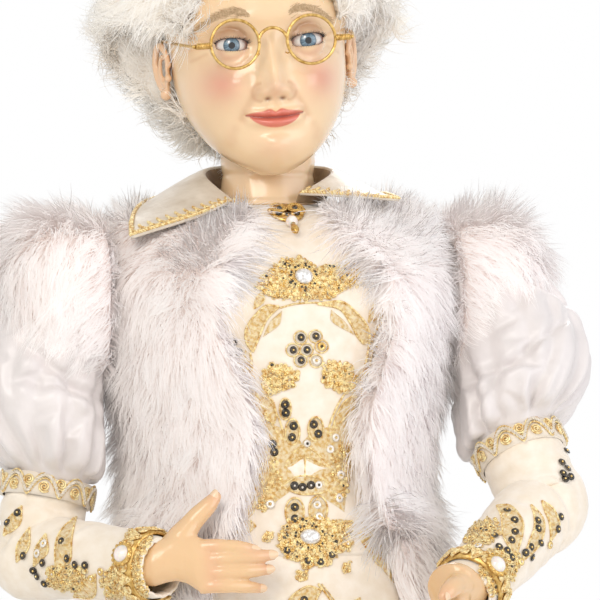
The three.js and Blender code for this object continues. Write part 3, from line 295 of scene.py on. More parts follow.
look("wood", "wood", "#6a4326", 0.42,
     (("waves", 14, "Object", 6.0, "X", (1, 6, 1)), "#4f2f19", "#855833", 0.2, 0.8),
     bumps=[(("noise", 160, 6, (1, 8, 1)), 0.15, 0.0006)], Coat_Weight=0.3)
look("steel", "steel", "#b9bcc0", 0.3, (("noise", 120, 4), "#a2a5aa", "#c8cbcf"),
     gloss=(("noise", 500, 4, (1, 1, 0.05)), 0.22, 0.4), Metallic=1.0)
look("leather", "leather", "#2f231e", 0.42, (("noise", 80, 5), "#221814", "#42322a"),
     bumps=[(("cells", 900), 0.3, 0.0004)], Coat_Weight=0.15)
look("sole", "leather", "#1d1613", 0.6, (("noise", 200, 4), "#140f0d", "#2c221d"),
     bumps=[(("noise", 700, 4), 0.3, 0.0004)])


# Meshes


def new_object(name, mesh, material, body):
    made = bpy.data.objects.new(name, mesh)
    bpy.context.scene.collection.objects.link(made)
    mesh.materials.append(MATERIALS[material])
    if body:
        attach(made, body)
    return made


def quad_mesh(name, verts, quads, material, body=None, paint=None, uv=None, soft_normals=None):
    """A mesh of four-sided faces. paint is a colour for each vertex, and uv a place for each."""
    mesh = bpy.data.meshes.new(name)
    verts = np.asarray(verts, float).reshape(-1, 3)
    quads = np.asarray(quads, np.int32)
    mesh.vertices.add(len(verts))
    mesh.vertices.foreach_set("co", (verts * MM).astype(np.float32).ravel())
    mesh.loops.add(quads.size)
    mesh.loops.foreach_set("vertex_index", quads.ravel())
    mesh.polygons.add(len(quads))
    mesh.polygons.foreach_set("loop_start", np.arange(0, quads.size, 4, dtype=np.int32))
    mesh.update(calc_edges=True)
    mesh.polygons.foreach_set("use_smooth", np.ones(len(quads), bool))
    if paint is not None:
        layer = mesh.color_attributes.new("paint", "FLOAT_COLOR", "POINT")
        colors = np.ones((len(verts), 4), np.float32)
        colors[:, :3] = paint
        layer.data.foreach_set("color", colors.ravel())
    if uv is not None:
        layer = mesh.uv_layers.new(name="UVMap")
        layer.data.foreach_set("uv", np.asarray(uv, np.float32)[quads.ravel()].ravel())
    if soft_normals is not None:
        mesh.normals_split_custom_set_from_vertices(soft_normals.astype(np.float32).tolist())
    return new_object(name, mesh, material, body)


def grid_quads(rows, columns, wrapped=False):
    """The faces of a grid of rows by columns points, row after row."""
    across = columns if wrapped else columns - 1
    j, i = np.meshgrid(np.arange(rows - 1), np.arange(across), indexing="ij")
    a = j * columns + i
    b = j * columns + (i + 1) % columns
    return np.stack([a, b, b + columns, a + columns], -1).reshape(-1, 4)


def modify(made, kind, **values):
    modifier = made.modifiers.new(kind.lower(), kind)
    for key, value in values.items():
        setattr(modifier, key, value)
    return modifier


def applied(made):
    """The object's mesh with its modifiers worked in."""
    graph = bpy.context.evaluated_depsgraph_get()
    mesh = bpy.data.meshes.new_from_object(made.evaluated_get(graph))
    made.modifiers.clear()
    made.data = mesh
    mesh.polygons.foreach_set("use_smooth", np.ones(len(mesh.polygons), bool))
    return made


def points_of(made):
    co = np.zeros(len(made.data.vertices) * 3)
    made.data.vertices.foreach_get("co", co)
    return co.reshape(-1, 3) / MM


def normals_of(made):
    normals = np.zeros(len(made.data.vertices) * 3)
    made.data.vertices.foreach_get("normal", normals)
    return normals.reshape(-1, 3)


def move_points(made, places):
    made.data.vertices.foreach_set("co", (places * MM).astype(np.float32).ravel())
    made.data.update()


def tree_of(*objects):
    """A search tree over the objects' faces, in millimetres."""
    verts, faces = [], []
    for made in objects:
        offset = len(verts)
        verts += points_of(made).tolist()
        faces += [[offset + i for i in p.vertices] for p in made.data.polygons]
    return BVHTree.FromPolygons(verts, faces)


def seen_at(x, y, tree):
    """The place and outward normal on a surface behind a point of the photograph's frame."""
    step = FRAME_WIDTH / FRAME_POINTS
    aim = CAMERA_TARGET + RIGHT * (x - FRAME_POINTS / 2) * step + UP * (FRAME_POINTS / 2 - y) * step
    ray = unit(aim - EYE)
    place, normal, _, _ = tree.ray_cast(Vector(EYE), Vector(ray))
    if place is None:
        return None, None
    normal = np.array(normal)
    return np.array(place), normal if normal @ ray < 0 else -normal


def frames_along(points):
    """Tangents and two steady directions across a line of points."""
    points = np.asarray(points, float)
    tangents = unit(np.gradient(points, axis=0))
    start = vec(0, 0, 1) if abs(tangents[0][2]) < 0.9 else vec(1, 0, 0)
    side = unit(np.cross(tangents[0], start))
    sides = [side]
    for t in tangents[1:]:
        side = unit(side - t * (side @ t))
        sides.append(side)
    sides = np.array(sides)
    return tangents, sides, np.cross(tangents, sides)


TINY = 0.01
CORD_PLIES, PLY_SIDES, CORD_STEPS = 2, 5, 6


class Pile:
    """Many small shapes gathered into one mesh."""

    def __init__(self):
        self.verts, self.quads, self.colors, self.count = [], [], [], 0

    def add(self, verts, quads, color=(1, 1, 1)):
        verts = np.asarray(verts, float).reshape(-1, 3)
        self.verts.append(verts)
        self.quads.append(np.asarray(quads) + self.count)
        self.colors.append(np.tile(color, (len(verts), 1)))
        self.count += len(verts)

    def tube(self, points, radius, sides):
        points = np.asarray(points, float)
        _, a, b = frames_along(points)
        radii = np.broadcast_to(np.asarray(radius, float), (len(points),)).copy()
        around = np.arange(sides) * TAU / sides
        ring = np.cos(around)[None, :, None] * a[:, None] + np.sin(around)[None, :, None] * b[:, None]
        verts = points[:, None] + ring * radii[:, None, None]
        ends = [points[:1, None] + ring[:1] * TINY, points[-1:, None] + ring[-1:] * TINY]
        verts = np.concatenate([ends[0], verts, ends[1]])
        self.add(verts, grid_quads(len(verts), sides, True))

    def twist(self, points, radius, pitch):
        """A cord of twisted plies along a line of points."""
        line = even(points, pitch / CORD_STEPS)
        _, a, b = frames_along(line)
        run = np.concatenate([[0], np.cumsum(np.linalg.norm(np.diff(line, axis=0), axis=1))])
        for ply in range(CORD_PLIES):
            turn = run / pitch * TAU + ply * TAU / CORD_PLIES
            off = a * np.cos(turn)[:, None] + b * np.sin(turn)[:, None]
            self.tube(line + off * radius * 0.5, radius * 0.55, PLY_SIDES)

    def turned(self, profile, segments, at, along):
        """A profile of [radius, height] pairs turned about a direction."""
        along = unit(along)
        a = unit(np.cross(along, UP if abs(along[2]) < 0.9 else vec(1, 0, 0)))
        b = np.cross(along, a)
        around = np.arange(segments) * TAU / segments
        ring = np.cos(around)[:, None] * a + np.sin(around)[:, None] * b
        verts = [np.asarray(at) + ring * max(r, TINY) + along * h for r, h in profile]
        self.add(np.array(verts), grid_quads(len(profile), segments, True))

    def ball(self, at, radius, segments=10):
        rows = np.linspace(0, math.pi, segments // 2 + 2)
        self.turned([(radius * math.sin(t), -radius * math.cos(t)) for t in rows], segments, at, UP)

    def make(self, name, material, body):
        if not self.count:
            return None
        verts, quads = np.concatenate(self.verts), np.concatenate(self.quads)
        return quad_mesh(name, verts, quads, material, body)


CURVE_STEPS = 12


def even(points, step):
    """A smooth line through points, cut into even steps."""
    points = np.asarray(points, float)
    if len(points) > 2:
        padded = np.vstack([2 * points[0] - points[1], points, 2 * points[-1] - points[-2]])
        t = np.linspace(0, 1, CURVE_STEPS, endpoint=False)[:, None]
        pieces = []
        for k in range(len(points) - 1):
            p0, p1, p2, p3 = padded[k : k + 4]
            pieces.append(0.5 * (
                2 * p1 + (p2 - p0) * t + (2 * p0 - 5 * p1 + 4 * p2 - p3) * t**2
                + (3 * p1 - p0 - 3 * p2 + p3) * t**3
            ))
        points = np.vstack([*pieces, points[-1:]])
    run = np.concatenate([[0], np.cumsum(np.linalg.norm(np.diff(points, axis=0), axis=1))])
    count = max(3, int(run[-1] / step) + 1)
    at = np.linspace(0, run[-1], count)
    return np.stack([np.interp(at, run, points[:, k]) for k in range(points.shape[1])], -1)


# The dress: an angle of 0 is the front, and +90 degrees is the +X side

HEM, BELT, WAIST, BUST, CHEST, SHOULDER, NECK = 12, 306, 332, 402, 437, 458, 474
DRESS_SECTIONS = np.array([
    # height, half width, depth to the front, depth to the back
    [HEM, 118, 114, 112],
    [(HEM + BELT) / 3, 108, 104, 100],
    [BELT - 46, 88, 91, 74],
    [BELT, 70, 83, 56],
    [WAIST, 64, 77, 47],
    [BUST, 73, 79, 46],
    [CHEST, 78, 72, 46],
    [SHOULDER, 77, 54, 43],
    [NECK, 29, 29, 29],
], float)
SKIRT_FOLDS = 10
FOLD_DEPTH = 6.0
TABLE_ROWS = 800


def curve_table(sections, count):
    """Sizes at many heights on a smooth curve through a few."""
    z = sections[:, 0]
    slopes = np.empty_like(sections[:, 1:])
    slopes[1:-1] = (sections[2:, 1:] - sections[:-2, 1:]) / (z[2:] - z[:-2])[:, None]
    slopes[0] = (sections[1, 1:] - sections[0, 1:]) / (z[1] - z[0])
    slopes[-1] = (sections[-1, 1:] - sections[-2, 1:]) / (z[-1] - z[-2])
    heights = np.linspace(z[0], z[-1], count)
    k = np.clip(np.searchsorted(z, heights, side="right") - 1, 0, len(z) - 2)
    span = (z[k + 1] - z[k])[:, None]
    t = ((heights - z[k]) / span[:, 0])[:, None]
    p1, p2 = sections[k, 1:], sections[k + 1, 1:]
    m1, m2 = slopes[k] * span, slopes[k + 1] * span
    sizes = ((2 * t**3 - 3 * t**2 + 1) * p1 + (t**3 - 2 * t**2 + t) * m1
             + (3 * t**2 - 2 * t**3) * p2 + (t**3 - t**2) * m2)
    return heights, sizes


DRESS_HEIGHTS, DRESS_SIZES = curve_table(DRESS_SECTIONS, TABLE_ROWS)


def dress(angle, z, lift):
    """Points on the dress at angles in radians and heights, lifted off it along its normal."""
    angle, z = np.broadcast_arrays(np.asarray(angle, float), np.asarray(z, float))

    def flat(a, h):
        side, front, back = (np.interp(h, DRESS_HEIGHTS, DRESS_SIZES[:, k]) for k in range(3))
        depth = np.where(np.cos(a) > 0, front, back)
        drop = np.clip((BELT - h) / (BELT - HEM), 0, 1)
        fold = FOLD_DEPTH * drop**1.2 * np.cos(SKIRT_FOLDS * a)
        return np.stack([(side + fold) * np.sin(a), -(depth + fold) * np.cos(a), h], -1)

    here = flat(angle, z)
    across = flat(angle + 0.01, z) - flat(angle - 0.01, z)
    rise = flat(angle, np.minimum(z + 0.5, NECK)) - flat(angle, np.maximum(z - 0.5, HEM))
    normal = unit(np.cross(across, rise))
    return here + normal * np.asarray(lift, float)[..., None], normal


def dress_piece(name, a, z, off, thickness, material):
    """A sheet of cloth on the dress, at grids of angles and heights, and its points."""
    verts, _ = dress(a, z, off)
    rows, columns = z.shape
    steps = np.linalg.norm(np.diff(verts, axis=1), axis=2)
    run = np.cumsum(np.hstack([np.zeros((rows, 1)), steps]), axis=1)
    uv = np.stack([run, z], -1).reshape(-1, 2) * MM
    made = quad_mesh(name, verts, grid_quads(rows, columns), material, "figure", uv=uv)
    modify(made, "SOLIDIFY", thickness=thickness * MM, offset=-1)
    return applied(made), verts


# Fur and hair


def samples_on(made, spacing, rng, keep):
    """Random places on a mesh's faces with their smooth normals, about one to a square of spacing."""
    mesh = made.data
    mesh.calc_loop_triangles()
    count = len(mesh.loop_triangles)
    tri = np.zeros(count * 3, np.int32)
    mesh.loop_triangles.foreach_get("vertices", tri)
    tri = tri.reshape(-1, 3)
    co, normals = points_of(made), normals_of(made)
    a, b, c = co[tri[:, 0]], co[tri[:, 1]], co[tri[:, 2]]
    area = np.linalg.norm(np.cross(b - a, c - a), axis=1) / 2
    number = int(area.sum() / spacing**2)
    pick = rng.choice(count, number, p=area / area.sum())
    u, v = rng.random((2, number))
    flip = u + v > 1
    u[flip], v[flip] = 1 - u[flip], 1 - v[flip]
    w = 1 - u - v
    weights = np.stack([w, u, v], -1)[..., None]
    places = (co[tri[pick]] * weights).sum(1)
    outward = unit((normals[tri[pick]] * weights).sum(1))
    kept = keep(places, outward)
    return places[kept], outward[kept]


def clump_to(places, share, rng):
    """For each place, the number of the nearest of a few of them."""
    heads = rng.choice(len(places), max(2, int(len(places) * share)), replace=False)
    tree = KDTree(len(heads))
    for i, k in enumerate(heads):
        tree.insert(places[k], i)
    tree.balance()
    return heads, np.array([tree.find(p)[1] for p in places])


def strands(name, material, body, lines, widths, normals, paint, rng):
    """Flat hairs along lines of points, an array of hairs by points by 3."""
    count, steps, _ = lines.shape
    along = unit(np.gradient(lines, axis=1))
    flat = unit(np.cross(along, normals[:, None]))
    turn = rng.uniform(-0.7, 0.7, (count, 1, 1))
    across = unit(flat * np.cos(turn) + np.cross(along, flat) * np.sin(turn))
    half = across * widths[..., None] / 2
    verts = np.stack([lines - half, lines + half], 2).reshape(-1, 3)
    one = np.arange(steps - 1)[:, None] * 2 + np.array([0, 1, 3, 2])
    quads = (np.arange(count)[:, None, None] * steps * 2 + one).reshape(-1, 4)
    soft = unit(normals[:, None] * 0.95 + np.cross(across, along) * 0.28)
    soft = np.repeat(soft[:, :, None], 2, 2).reshape(-1, 3)
    colors = np.repeat(paint[:, :, None], 2, 2).reshape(-1, 3)
    return quad_mesh(name, verts, quads, material, body, paint=colors, soft_normals=soft)


def three_tones(light, dark, middle, bright):
    """Colours from dark through middle to bright, for amounts of light from 0 to 1."""
    color = dark + (middle - dark) * np.clip(light * 2, 0, 1)[..., None]
    return color + (bright - middle) * np.clip(light * 2 - 1, 0, 1)[..., None]


# The pile's tones run from a dark one at its roots, which is painted shade deep in the pile, to bright tips
FUR_TONES = [tone_of(code) for code in ("#f0e5e2", "#fdf7f5", "#fffdfc")]
FUR_WIDTH, FUR_STEPS, FUR_CLUMPS = 0.46, 5, 0.02
COVER_LOW, COVER_HIGH, COVER_BESIDE = NECK - 50, 30, 16


def drift(places, seed, scale):
    """A slow change of way from place to place, as in brushed pile."""
    rng = np.random.default_rng(seed)
    total = np.zeros_like(places)
    for _ in range(5):
        way = rng.normal(size=3) * scale
        total += np.sin(places @ way + rng.uniform(0, TAU))[:, None] * rng.normal(size=3)
    return total / 3


def fur_on(name, skin, body, length, comb, seed, spacing, keep, cover, lean=1.0):
    """Plush pile on a skin: comb gives the way that it is brushed at each place, and its length there.
    Under a cover the pile is as short as the room for it, and on the front's -X side short beside it."""
    rng = np.random.default_rng(seed)
    places, normals = samples_on(skin, spacing, rng, keep)
    way, reach = comb(places, normals)
    way = way + drift(places, seed + 50, 0.06) * 0.42
    way = way - normals * (way * normals).sum(-1, keepdims=True)
    count = len(places)
    heads, mine = clump_to(places, FUR_CLUMPS, rng)
    wander = rng.normal(size=(len(heads), 3)) * 0.2
    long = length * reach * (0.6 + 0.65 * rng.random(count)) * (0.85 + 0.3 * rng.random(len(heads)))[mine]
    if cover:
        for i in np.flatnonzero(places[:, 2] > COVER_LOW):
            room = cover.ray_cast(Vector(places[i]), Vector(UP), COVER_HIGH)[3]
            if room is not None:
                long[i] = min(long[i], max(1.5, room * 0.7))
            elif places[i, 0] < 0 and places[i, 1] < 0:
                away = cover.find_nearest(Vector(places[i]), COVER_BESIDE)[3]
                if away is not None:
                    long[i] = min(long[i], 3 + away * 0.5)
    t = np.linspace(0, 1, FUR_STEPS)[None, :, None]
    start = unit(normals * 0.9 + way * 0.5 * lean + wander[mine] * 0.5 + rng.normal(size=(count, 3)) * 0.2)
    upright = np.clip(1.1 - np.linalg.norm(way, axis=1, keepdims=True), 0.12, 1)
    later = unit(normals * upright + way * lean + wander[mine] + rng.normal(size=(count, 3)) * 0.22)
    size = long[:, None, None]
    lines = places[:, None] + size * (start[:, None] * t * (1 - 0.55 * t) + later[:, None] * 0.6 * t * t)
    tips = lines[:, -1]
    pull = (tips[heads][mine] - tips) * (0.15 + 0.35 * rng.random((count, 1)))
    pull = pull * np.clip(8 / (np.linalg.norm(pull, axis=1, keepdims=True) + 1e-6), 0, 1)
    lines = lines + pull[:, None] * t**2 * 0.7
    shape = np.clip(1.05 - np.linspace(0, 1, FUR_STEPS) ** 2, 0.05, 1)
    widths = FUR_WIDTH * (0.7 + 0.6 * rng.random(count))[:, None] * shape[None]
    tone = np.clip(rng.normal(0.62, 0.25, count) + (rng.random(len(heads))[mine] - 0.5) * 0.3, 0, 1)
    # The roots are painted darker than the tips: painted shade deep in the pile, as the hairs cast no
    # shadows
    light = np.clip(np.linspace(0.3, 1.3, FUR_STEPS)[None] * (0.55 + 0.45 * tone[:, None]), 0, 1)
    paint = three_tones(light, *FUR_TONES)
    made = strands(name, "fur", body, lines, widths, normals, paint, rng)
    made.visible_shadow = False
    return made


def skin_of(node, voxel, shrink, smoothing=4, sink=0):
    """A soft skin in the place of a solid node. Its underside can sink into what it lies on."""
    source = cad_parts[node]
    mesh = source.data.copy()
    made = bpy.data.objects.new(node + "_skin", mesh)
    bpy.context.scene.collection.objects.link(made)
    mesh.materials.clear()
    modify(made, "REMESH", mode="VOXEL", voxel_size=voxel * MM)
    modify(made, "SMOOTH", factor=0.6, iterations=smoothing)
    applied(made)
    places, normals = points_of(made), normals_of(made)
    under = (normals * outward_of(places)).sum(-1, keepdims=True) < -0.4
    move_points(made, places + normals * np.where(under, sink - shrink, -shrink))
    return made


def dressed(made, material, body, *nodes):
    made.data.materials.clear()
    made.data.materials.append(MATERIALS[material])
    if body:
        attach(made, body)
    if nodes:
        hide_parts(*nodes)
    return made


# Arms

SHOULDER_AT, YOKE_HEIGHT = 92, 440
PUFF_WIDTH, PUFF_DEPTH, PUFF_BULGE = 31, 40, 17
ELBOW_GAP, BRAID_WIDTH, BRAID_RADIUS = 33, 11, 24
ARMS = {
    "right": dict(side=-1, elbow=vec(-123, -16, 300), wrist=vec(-76, -92, 296),
                  fingers=vec(0.95, -0.28, 0.06), palm=vec(0.25, 0.95, -0.1)),
    "left": dict(side=1, elbow=vec(125, -64, 324), wrist=vec(70, -118, 284),
                 fingers=vec(-0.45, -0.6, -0.55), palm=vec(-0.62, 0.45, 0.55)),
}
for arm in ARMS.values():
    arm["shoulder"] = vec(arm["side"] * SHOULDER_AT, 0, YOKE_HEIGHT)
    arm["upper"] = unit(arm["elbow"] - arm["shoulder"])
    arm["fore"] = unit(arm["wrist"] - arm["elbow"])
    arm["band"] = arm["elbow"] - arm["upper"] * ELBOW_GAP


COAT_LIFT, COAT_THICKNESS = 2.5, 1.3


def make_dress():
    """The bodice, the gown and the coat, each a sheet in the place of its node."""
    rng = np.random.default_rng(11)
    phases = rng.random((6, 2)) * TAU

    def rumple(depth, low):
        def off(a, z):
            total = np.zeros_like(a)
            for k, (p, q) in enumerate(phases):
                total += np.sin(a * (9 + 5 * k) + z * 0.02 * (k + 1) + p) * np.sin(z * 0.035 * (k + 1) + q)
            return total / 3 * depth * np.clip((BELT - z) / 120 + low, 0, 1)
        return off

    around = np.linspace(-180, 180, 241)
    pieces = {}
    specs = [
        # name, node, angles in degrees, heights, lift, thickness, material, how it is held, rumple
        ("bodice_velvet", "bodice", around, np.linspace(BELT - 5, NECK - 0.5, 74), 0.2, 2.0,
         "velvet", "stretched", rumple(0.0, 0)),
        ("gown_velvet", "gown_skirt", around, np.linspace(HEM, BELT, 110), -0.3, 1.6,
         "velvet", "gathered", rumple(0.35, 0)),
        ("coat_satin_skirt", "coat_skirt", np.linspace(36, 324, 200), np.linspace(42, BELT, 100),
         COAT_LIFT, COAT_THICKNESS, "satin", "gathered", rumple(1.6, 0.15)),
    ]
    for name, node, angles, heights, lift, thickness, material, held, off in specs:
        a, z = np.meshgrid(np.radians(angles), heights)
        made, _ = dress_piece(name, a, z, lift + off(a, z), thickness, material)
        dress(a, z, lift)[0]
        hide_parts(node)
        pieces[name] = made

    # The coat's back stops where the fur fronts begin
    heights = np.linspace(BELT, SHOULDER, 60)
    half = np.interp(heights, [BELT, 360, 430, SHOULDER], [46, 34, 50, 36])
    starts = np.array([math.asin(min(0.95, w / np.interp(h, DRESS_HEIGHTS, DRESS_SIZES[:, 0])))
                       for w, h in zip(half, heights)])
    a = starts[:, None] + (TAU - 2 * starts[:, None]) * np.linspace(0, 1, 161)[None]
    z = np.broadcast_to(heights[:, None], a.shape)
    made, verts = dress_piece("coat_satin_back", a, z, COAT_LIFT, COAT_THICKNESS, "satin")
    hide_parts("coat_back")
    return pieces


BODY_MIDDLE = vec(0, -10, 0)


def outward_of(places):
    """The level way out from the body's middle line."""
    return unit((places - BODY_MIDDLE) * vec(1, 1, 0))


LAPEL_LENGTH, RUFF_LENGTH, EDGE_SPACING, FUR_SINK = 25, 15, 0.95, 4


def make_fur(collar):
    """The fur pieces, each a skin in the place of its node with pile on it."""
    collar_tree = tree_of(collar)

    def facing_out(limit):
        return lambda p, n: (n * outward_of(p)).sum(-1) > limit

    def front_comb(side):
        def comb(p, n):
            across = p[:, 0] * side
            high = np.clip((p[:, 2] - 412) / 40, 0, 1)
            edge = np.clip((66 - across) / 30, 0, 1)
            middle = np.clip((p[:, 2] - 350) / 50, 0, 1)
            inward = edge * ((0.35 + 0.6 * middle if side < 0 else 0.05) + 0.7 * high)
            outward = np.clip((across - 60) / 14, 0, 1) * (0.2 + 0.7 * high)
            way = np.outer((outward - inward) * side, vec(1, 0, 0)) - UP * 1.1
            shelf = np.clip((n[:, 2] - 0.35) * 4, 0, 1) * np.clip((78 - across) / 10, 0, 1)
            low = np.clip((328 - p[:, 2]) / 12, 0, 1)
            reach = 1 + 0.3 * high * edge + 0.35 * low - 0.2 * shelf
            return way * (1 - shelf * 0.7)[:, None] + outward_of(p) * (0.05 + 0.6 * shelf)[:, None], reach
        return comb

    def lapel_comb(side):
        """The long hairs beside the neck's opening, which lie inward over its edge."""
        def comb(p, n):
            way = np.outer(np.full(len(p), -side * 1.0), vec(1, 0, 0)) - UP * 0.45 + vec(0, -0.25, 0)
            return way, np.clip((p[:, 2] - 415) / 30, 0.55, 1)
        return comb

    def lapel_keep(side):
        def keep(p, n):
            edge = np.interp(p[:, 2], [360, 430, 470], [27, 45, 17])
            return (p[:, 2] > 424) & (p[:, 0] * side < edge + 13) & (n[:, 1] < 0.1)
        return keep

    def ruff_comb(p, n):
        """The short upright hairs under the collar."""
        return outward_of(p) * 0.25 + UP * 0.3, np.ones(len(p))

    def ruff_keep(p, n):
        return (p[:, 2] > 452) & (np.abs(p[:, 0]) < 74) & (n[:, 2] > 0.25)

    def fall_comb(p, n):
        shelf = np.clip((n[:, 2] - 0.35) * 4, 0, 1) * (p[:, 2] > 400)
        way = -np.outer(1.3 - 0.9 * shelf, UP) + outward_of(p) * (0.12 + 0.5 * shelf)[:, None]
        return way, 1 - 0.2 * shelf

    def cap_comb(side):
        def comb(p, n):
            over = np.clip((p[:, 0] * side - 88) / 30, 0, 1)
            down = 0.5 + 0.6 * over
            way = np.stack([side * (0.95 - 0.5 * over), p[:, 1] / 50, -down], -1)
            return way, 0.75 + 0.4 * over
        return comb

    def cap_keep(side):
        return lambda p, n: (n[:, 2] > -0.8) & ~((p[:, 0] * side < 90) & (n[:, 0] * side < -0.5))

    specs = [
        # name, node, body, pile length, comb, spacing, keep, seed
        ("vest_fur_right", "vest_front_right", "figure", 17, front_comb(-1), 1.0, facing_out(-0.15), 1),
        ("vest_fur_left", "vest_front_left", "figure", 17, front_comb(1), 1.0, facing_out(-0.15), 2),
        ("cape_fur", "cape_back", "figure", 16, fall_comb, 1.2, facing_out(-0.1), 3),
        ("coat_edge_fur_right", "coat_fur_right", "figure", 14, fall_comb, 1.2, facing_out(-0.1), 4),
        ("coat_edge_fur_left", "coat_fur_left", "figure", 14, fall_comb, 1.2, facing_out(-0.1), 5),
        ("hem_edge_fur", "hem_fur", "figure", 13, fall_comb, 1.35, facing_out(-0.1), 6),
        ("cap_fur_right", "fur_cap_right", "upper_arm_right", 17, cap_comb(-1), 0.95, cap_keep(-1), 7),
        ("cap_fur_left", "fur_cap_left", "upper_arm_left", 17, cap_comb(1), 0.95, cap_keep(1), 8),
    ]
    for name, node, body, length, comb, spacing, keep, seed in specs:
        skin = skin_of(node, 3.0, 1.5, sink=FUR_SINK if body == "figure" else 0)
        skin.name = name + "_skin"
        cover = collar_tree if node in COLLAR_CARRIERS else None
        fur_on(name, skin, body, length, comb, seed, spacing, keep, cover)
        if node.startswith("vest_front"):
            side = 1 if node.endswith("left") else -1
            fur_on("lapel_" + name, skin, body, LAPEL_LENGTH, lapel_comb(side), seed + 20, EDGE_SPACING,
                   lapel_keep(side), cover, lean=1.3)
        if node in ("vest_front_left", "cape_back"):
            fur_on("ruff_" + name, skin, body, RUFF_LENGTH, ruff_comb, seed + 30, EDGE_SPACING,
                   ruff_keep, cover)
        dressed(skin, "fur_skin", body, node)


WORLD_LIGHT, FLOOR_REACH = 0.64, 1500
LAMP_AIM = vec(0, 0, 400)


def make_stage():
    """The camera, a world that looks white, the floor and three soft lamps."""
    scene = bpy.context.scene
    camera = bpy.data.cameras.new("camera")
    camera.lens = camera.sensor_width * CAMERA_DISTANCE / FRAME_WIDTH
    camera.clip_end = 20
    holder = bpy.data.objects.new("camera", camera)
    scene.collection.objects.link(holder)
    view = Matrix([RIGHT.tolist(), UP.tolist(), BACK.tolist()]).transposed().to_4x4()
    view.translation = Vector(EYE * MM)
    holder.matrix_world = view
    scene.camera = holder

    world = bpy.data.worlds.new("world")
    scene.world = world
    world.use_nodes = True
    tree = world.node_tree
    back = tree.nodes["Background"]
    path = tree.nodes.new("ShaderNodeLightPath")
    lit = tree.nodes.new("ShaderNodeMix")
    lit.data_type = "FLOAT"
    lit.inputs[2].default_value = WORLD_LIGHT
    lit.inputs[3].default_value = 1.0
    seen = path.outputs["Is Camera Ray"]
    for ray in ("Is Glossy Ray", "Is Transmission Ray"):
        either = tree.nodes.new("ShaderNodeMath")
        either.operation = "MAXIMUM"
        tree.links.new(seen, either.inputs[0])
        tree.links.new(path.outputs[ray], either.inputs[1])
        seen = either.outputs[0]
    tree.links.new(seen, lit.inputs[0])
    tree.links.new(lit.outputs[0], back.inputs["Strength"])
    back.inputs["Color"].default_value = (1, 1, 1, 1)

    floor = Nodes("floor", "#f4f3f1", 0.9)
    MATERIALS["floor"] = floor.material
    corners = [(x * FLOOR_REACH, y * FLOOR_REACH, 0) for x, y in ((-1, -1), (1, -1), (1, 1), (-1, 1))]
    plate = quad_mesh("floor", corners, [[0, 1, 2, 3]], "floor")

    lamps = [
        # name, place, size, power, colour
        ("key", vec(-900, -1500, 1300), 0.9, 14, "#fff8f0"),
        ("fill", vec(1300, -1300, 700), 1.4, 10.5, "#f8f7ff"),
        ("rim", vec(500, 1300, 1400), 1.0, 12, "#ffffff"),
    ]
    for name, place, width, power, color in lamps:
        lamp = bpy.data.lights.new(name, "AREA")
        lamp.size = width
        lamp.energy = power
        lamp.color = rgb(color)[:3]
        holder = bpy.data.objects.new(name, lamp)
        holder.location = place * MM
        holder.rotation_euler = Vector(LAMP_AIM - place).to_track_quat("-Z", "Y").to_euler()
        scene.collection.objects.link(holder)
    scene.view_settings.view_transform = "Standard"


# The head, in its own frame: x across, y to the back, z above the neck's base

HEAD_TURN = np.array(Matrix.Rotation(math.radians(-6), 3, "Z") @ Matrix.Rotation(math.radians(-4), 3, "Y"))
HEAD_SECTIONS = np.array([
    # rise, half width, front, back
    [15, 7, -36, -22], [20, 16, -42, -12], [25, 23, -45, -2], [32, 30, -47, 14], [45, 38, -48, 30],
    [60, 42.5, -50, 44], [80, 44, -50, 54], [100, 46, -51, 56], [118, 41, -41, 50],
    [131, 29, -24, 36], [140, 10, -4, 16],
], float)
HEAD_HEIGHTS, HEAD_SIZES = curve_table(HEAD_SECTIONS, 500)
EYE_AT = vec(19, -39.5, 80)
EYE_RADIUS = 9.0
LID_RADIUS = 9.9
LID_BLEND = 1.8
LID_CREASE = [(12.5, 84.5), (15.5, 87.4), (20, 88.4), (25.5, 86.6), (28, 83.6)]
EYE_OPEN = (7.9, 3.7, 2.7)
EYE_PATCH = (13.0, 10.0)

FACE_FORMS = [
    # across (both sides where not 0), rise, width, height, how far out
    (0, 73, 4.6, 11, 4.0), (0, 62, 5.6, 9, 6.0), (0, 57.6, 5.4, 4.6, 4.6), (6.6, 55.6, 3.4, 3.4, 3.6),
    (3.6, 52.2, 1.7, 1.2, -1.6), (0, 48.6, 1.9, 3.4, -0.7), (2.9, 48.4, 1.5, 3.6, 0.5),
    (0, 46, 13, 9, 2.2), (0, 29, 9, 7, 4.2), (0, 35.4, 8, 2.3, -1.3), (22, 56, 15, 14, 3.0),
    (23, 61, 9.5, 8.5, 2.4), (16, 93, 13, 5, 2.4), (9.5, 79, 3.4, 5, -2.2), (19, 90, 11, 3.0, -0.8),
    (31, 79, 5, 9, -1.2), (26, 34, 8, 7, 1.4), (15.8, 42.6, 2.6, 2.6, -0.4),
]
FACE_FOLDS = [
    # a line of (across, rise) points, its width and depth
    ([(8.8, 57), (11.5, 52), (15, 46.5), (16.4, 43)], 1.7, 0.5),
    ([(11, 73.4), (15, 70), (20, 68.8), (25, 70.4)], 1.1, 0.5),
    ([(30.5, 82.5), (34, 84.5), (37, 86)], 0.7, 0.3),
    ([(30.8, 79.5), (34.5, 79.5), (38, 79)], 0.7, 0.3),
    ([(30.5, 76.5), (34, 75), (37, 73.5)], 0.7, 0.3),
    ([(0, 105), (10, 105.8), (20, 104.6)], 0.9, 0.3),
    ([(0, 111), (10, 112), (19, 110.6)], 0.9, 0.25),
    ([(20, 38), (21.5, 35), (21, 32)], 2.2, 0.25),
]


def placed(points):
    """Points of the head's own frame, set where the head is."""
    return np.asarray(points, float) @ HEAD_TURN.T + vec(0, 0, NECK)


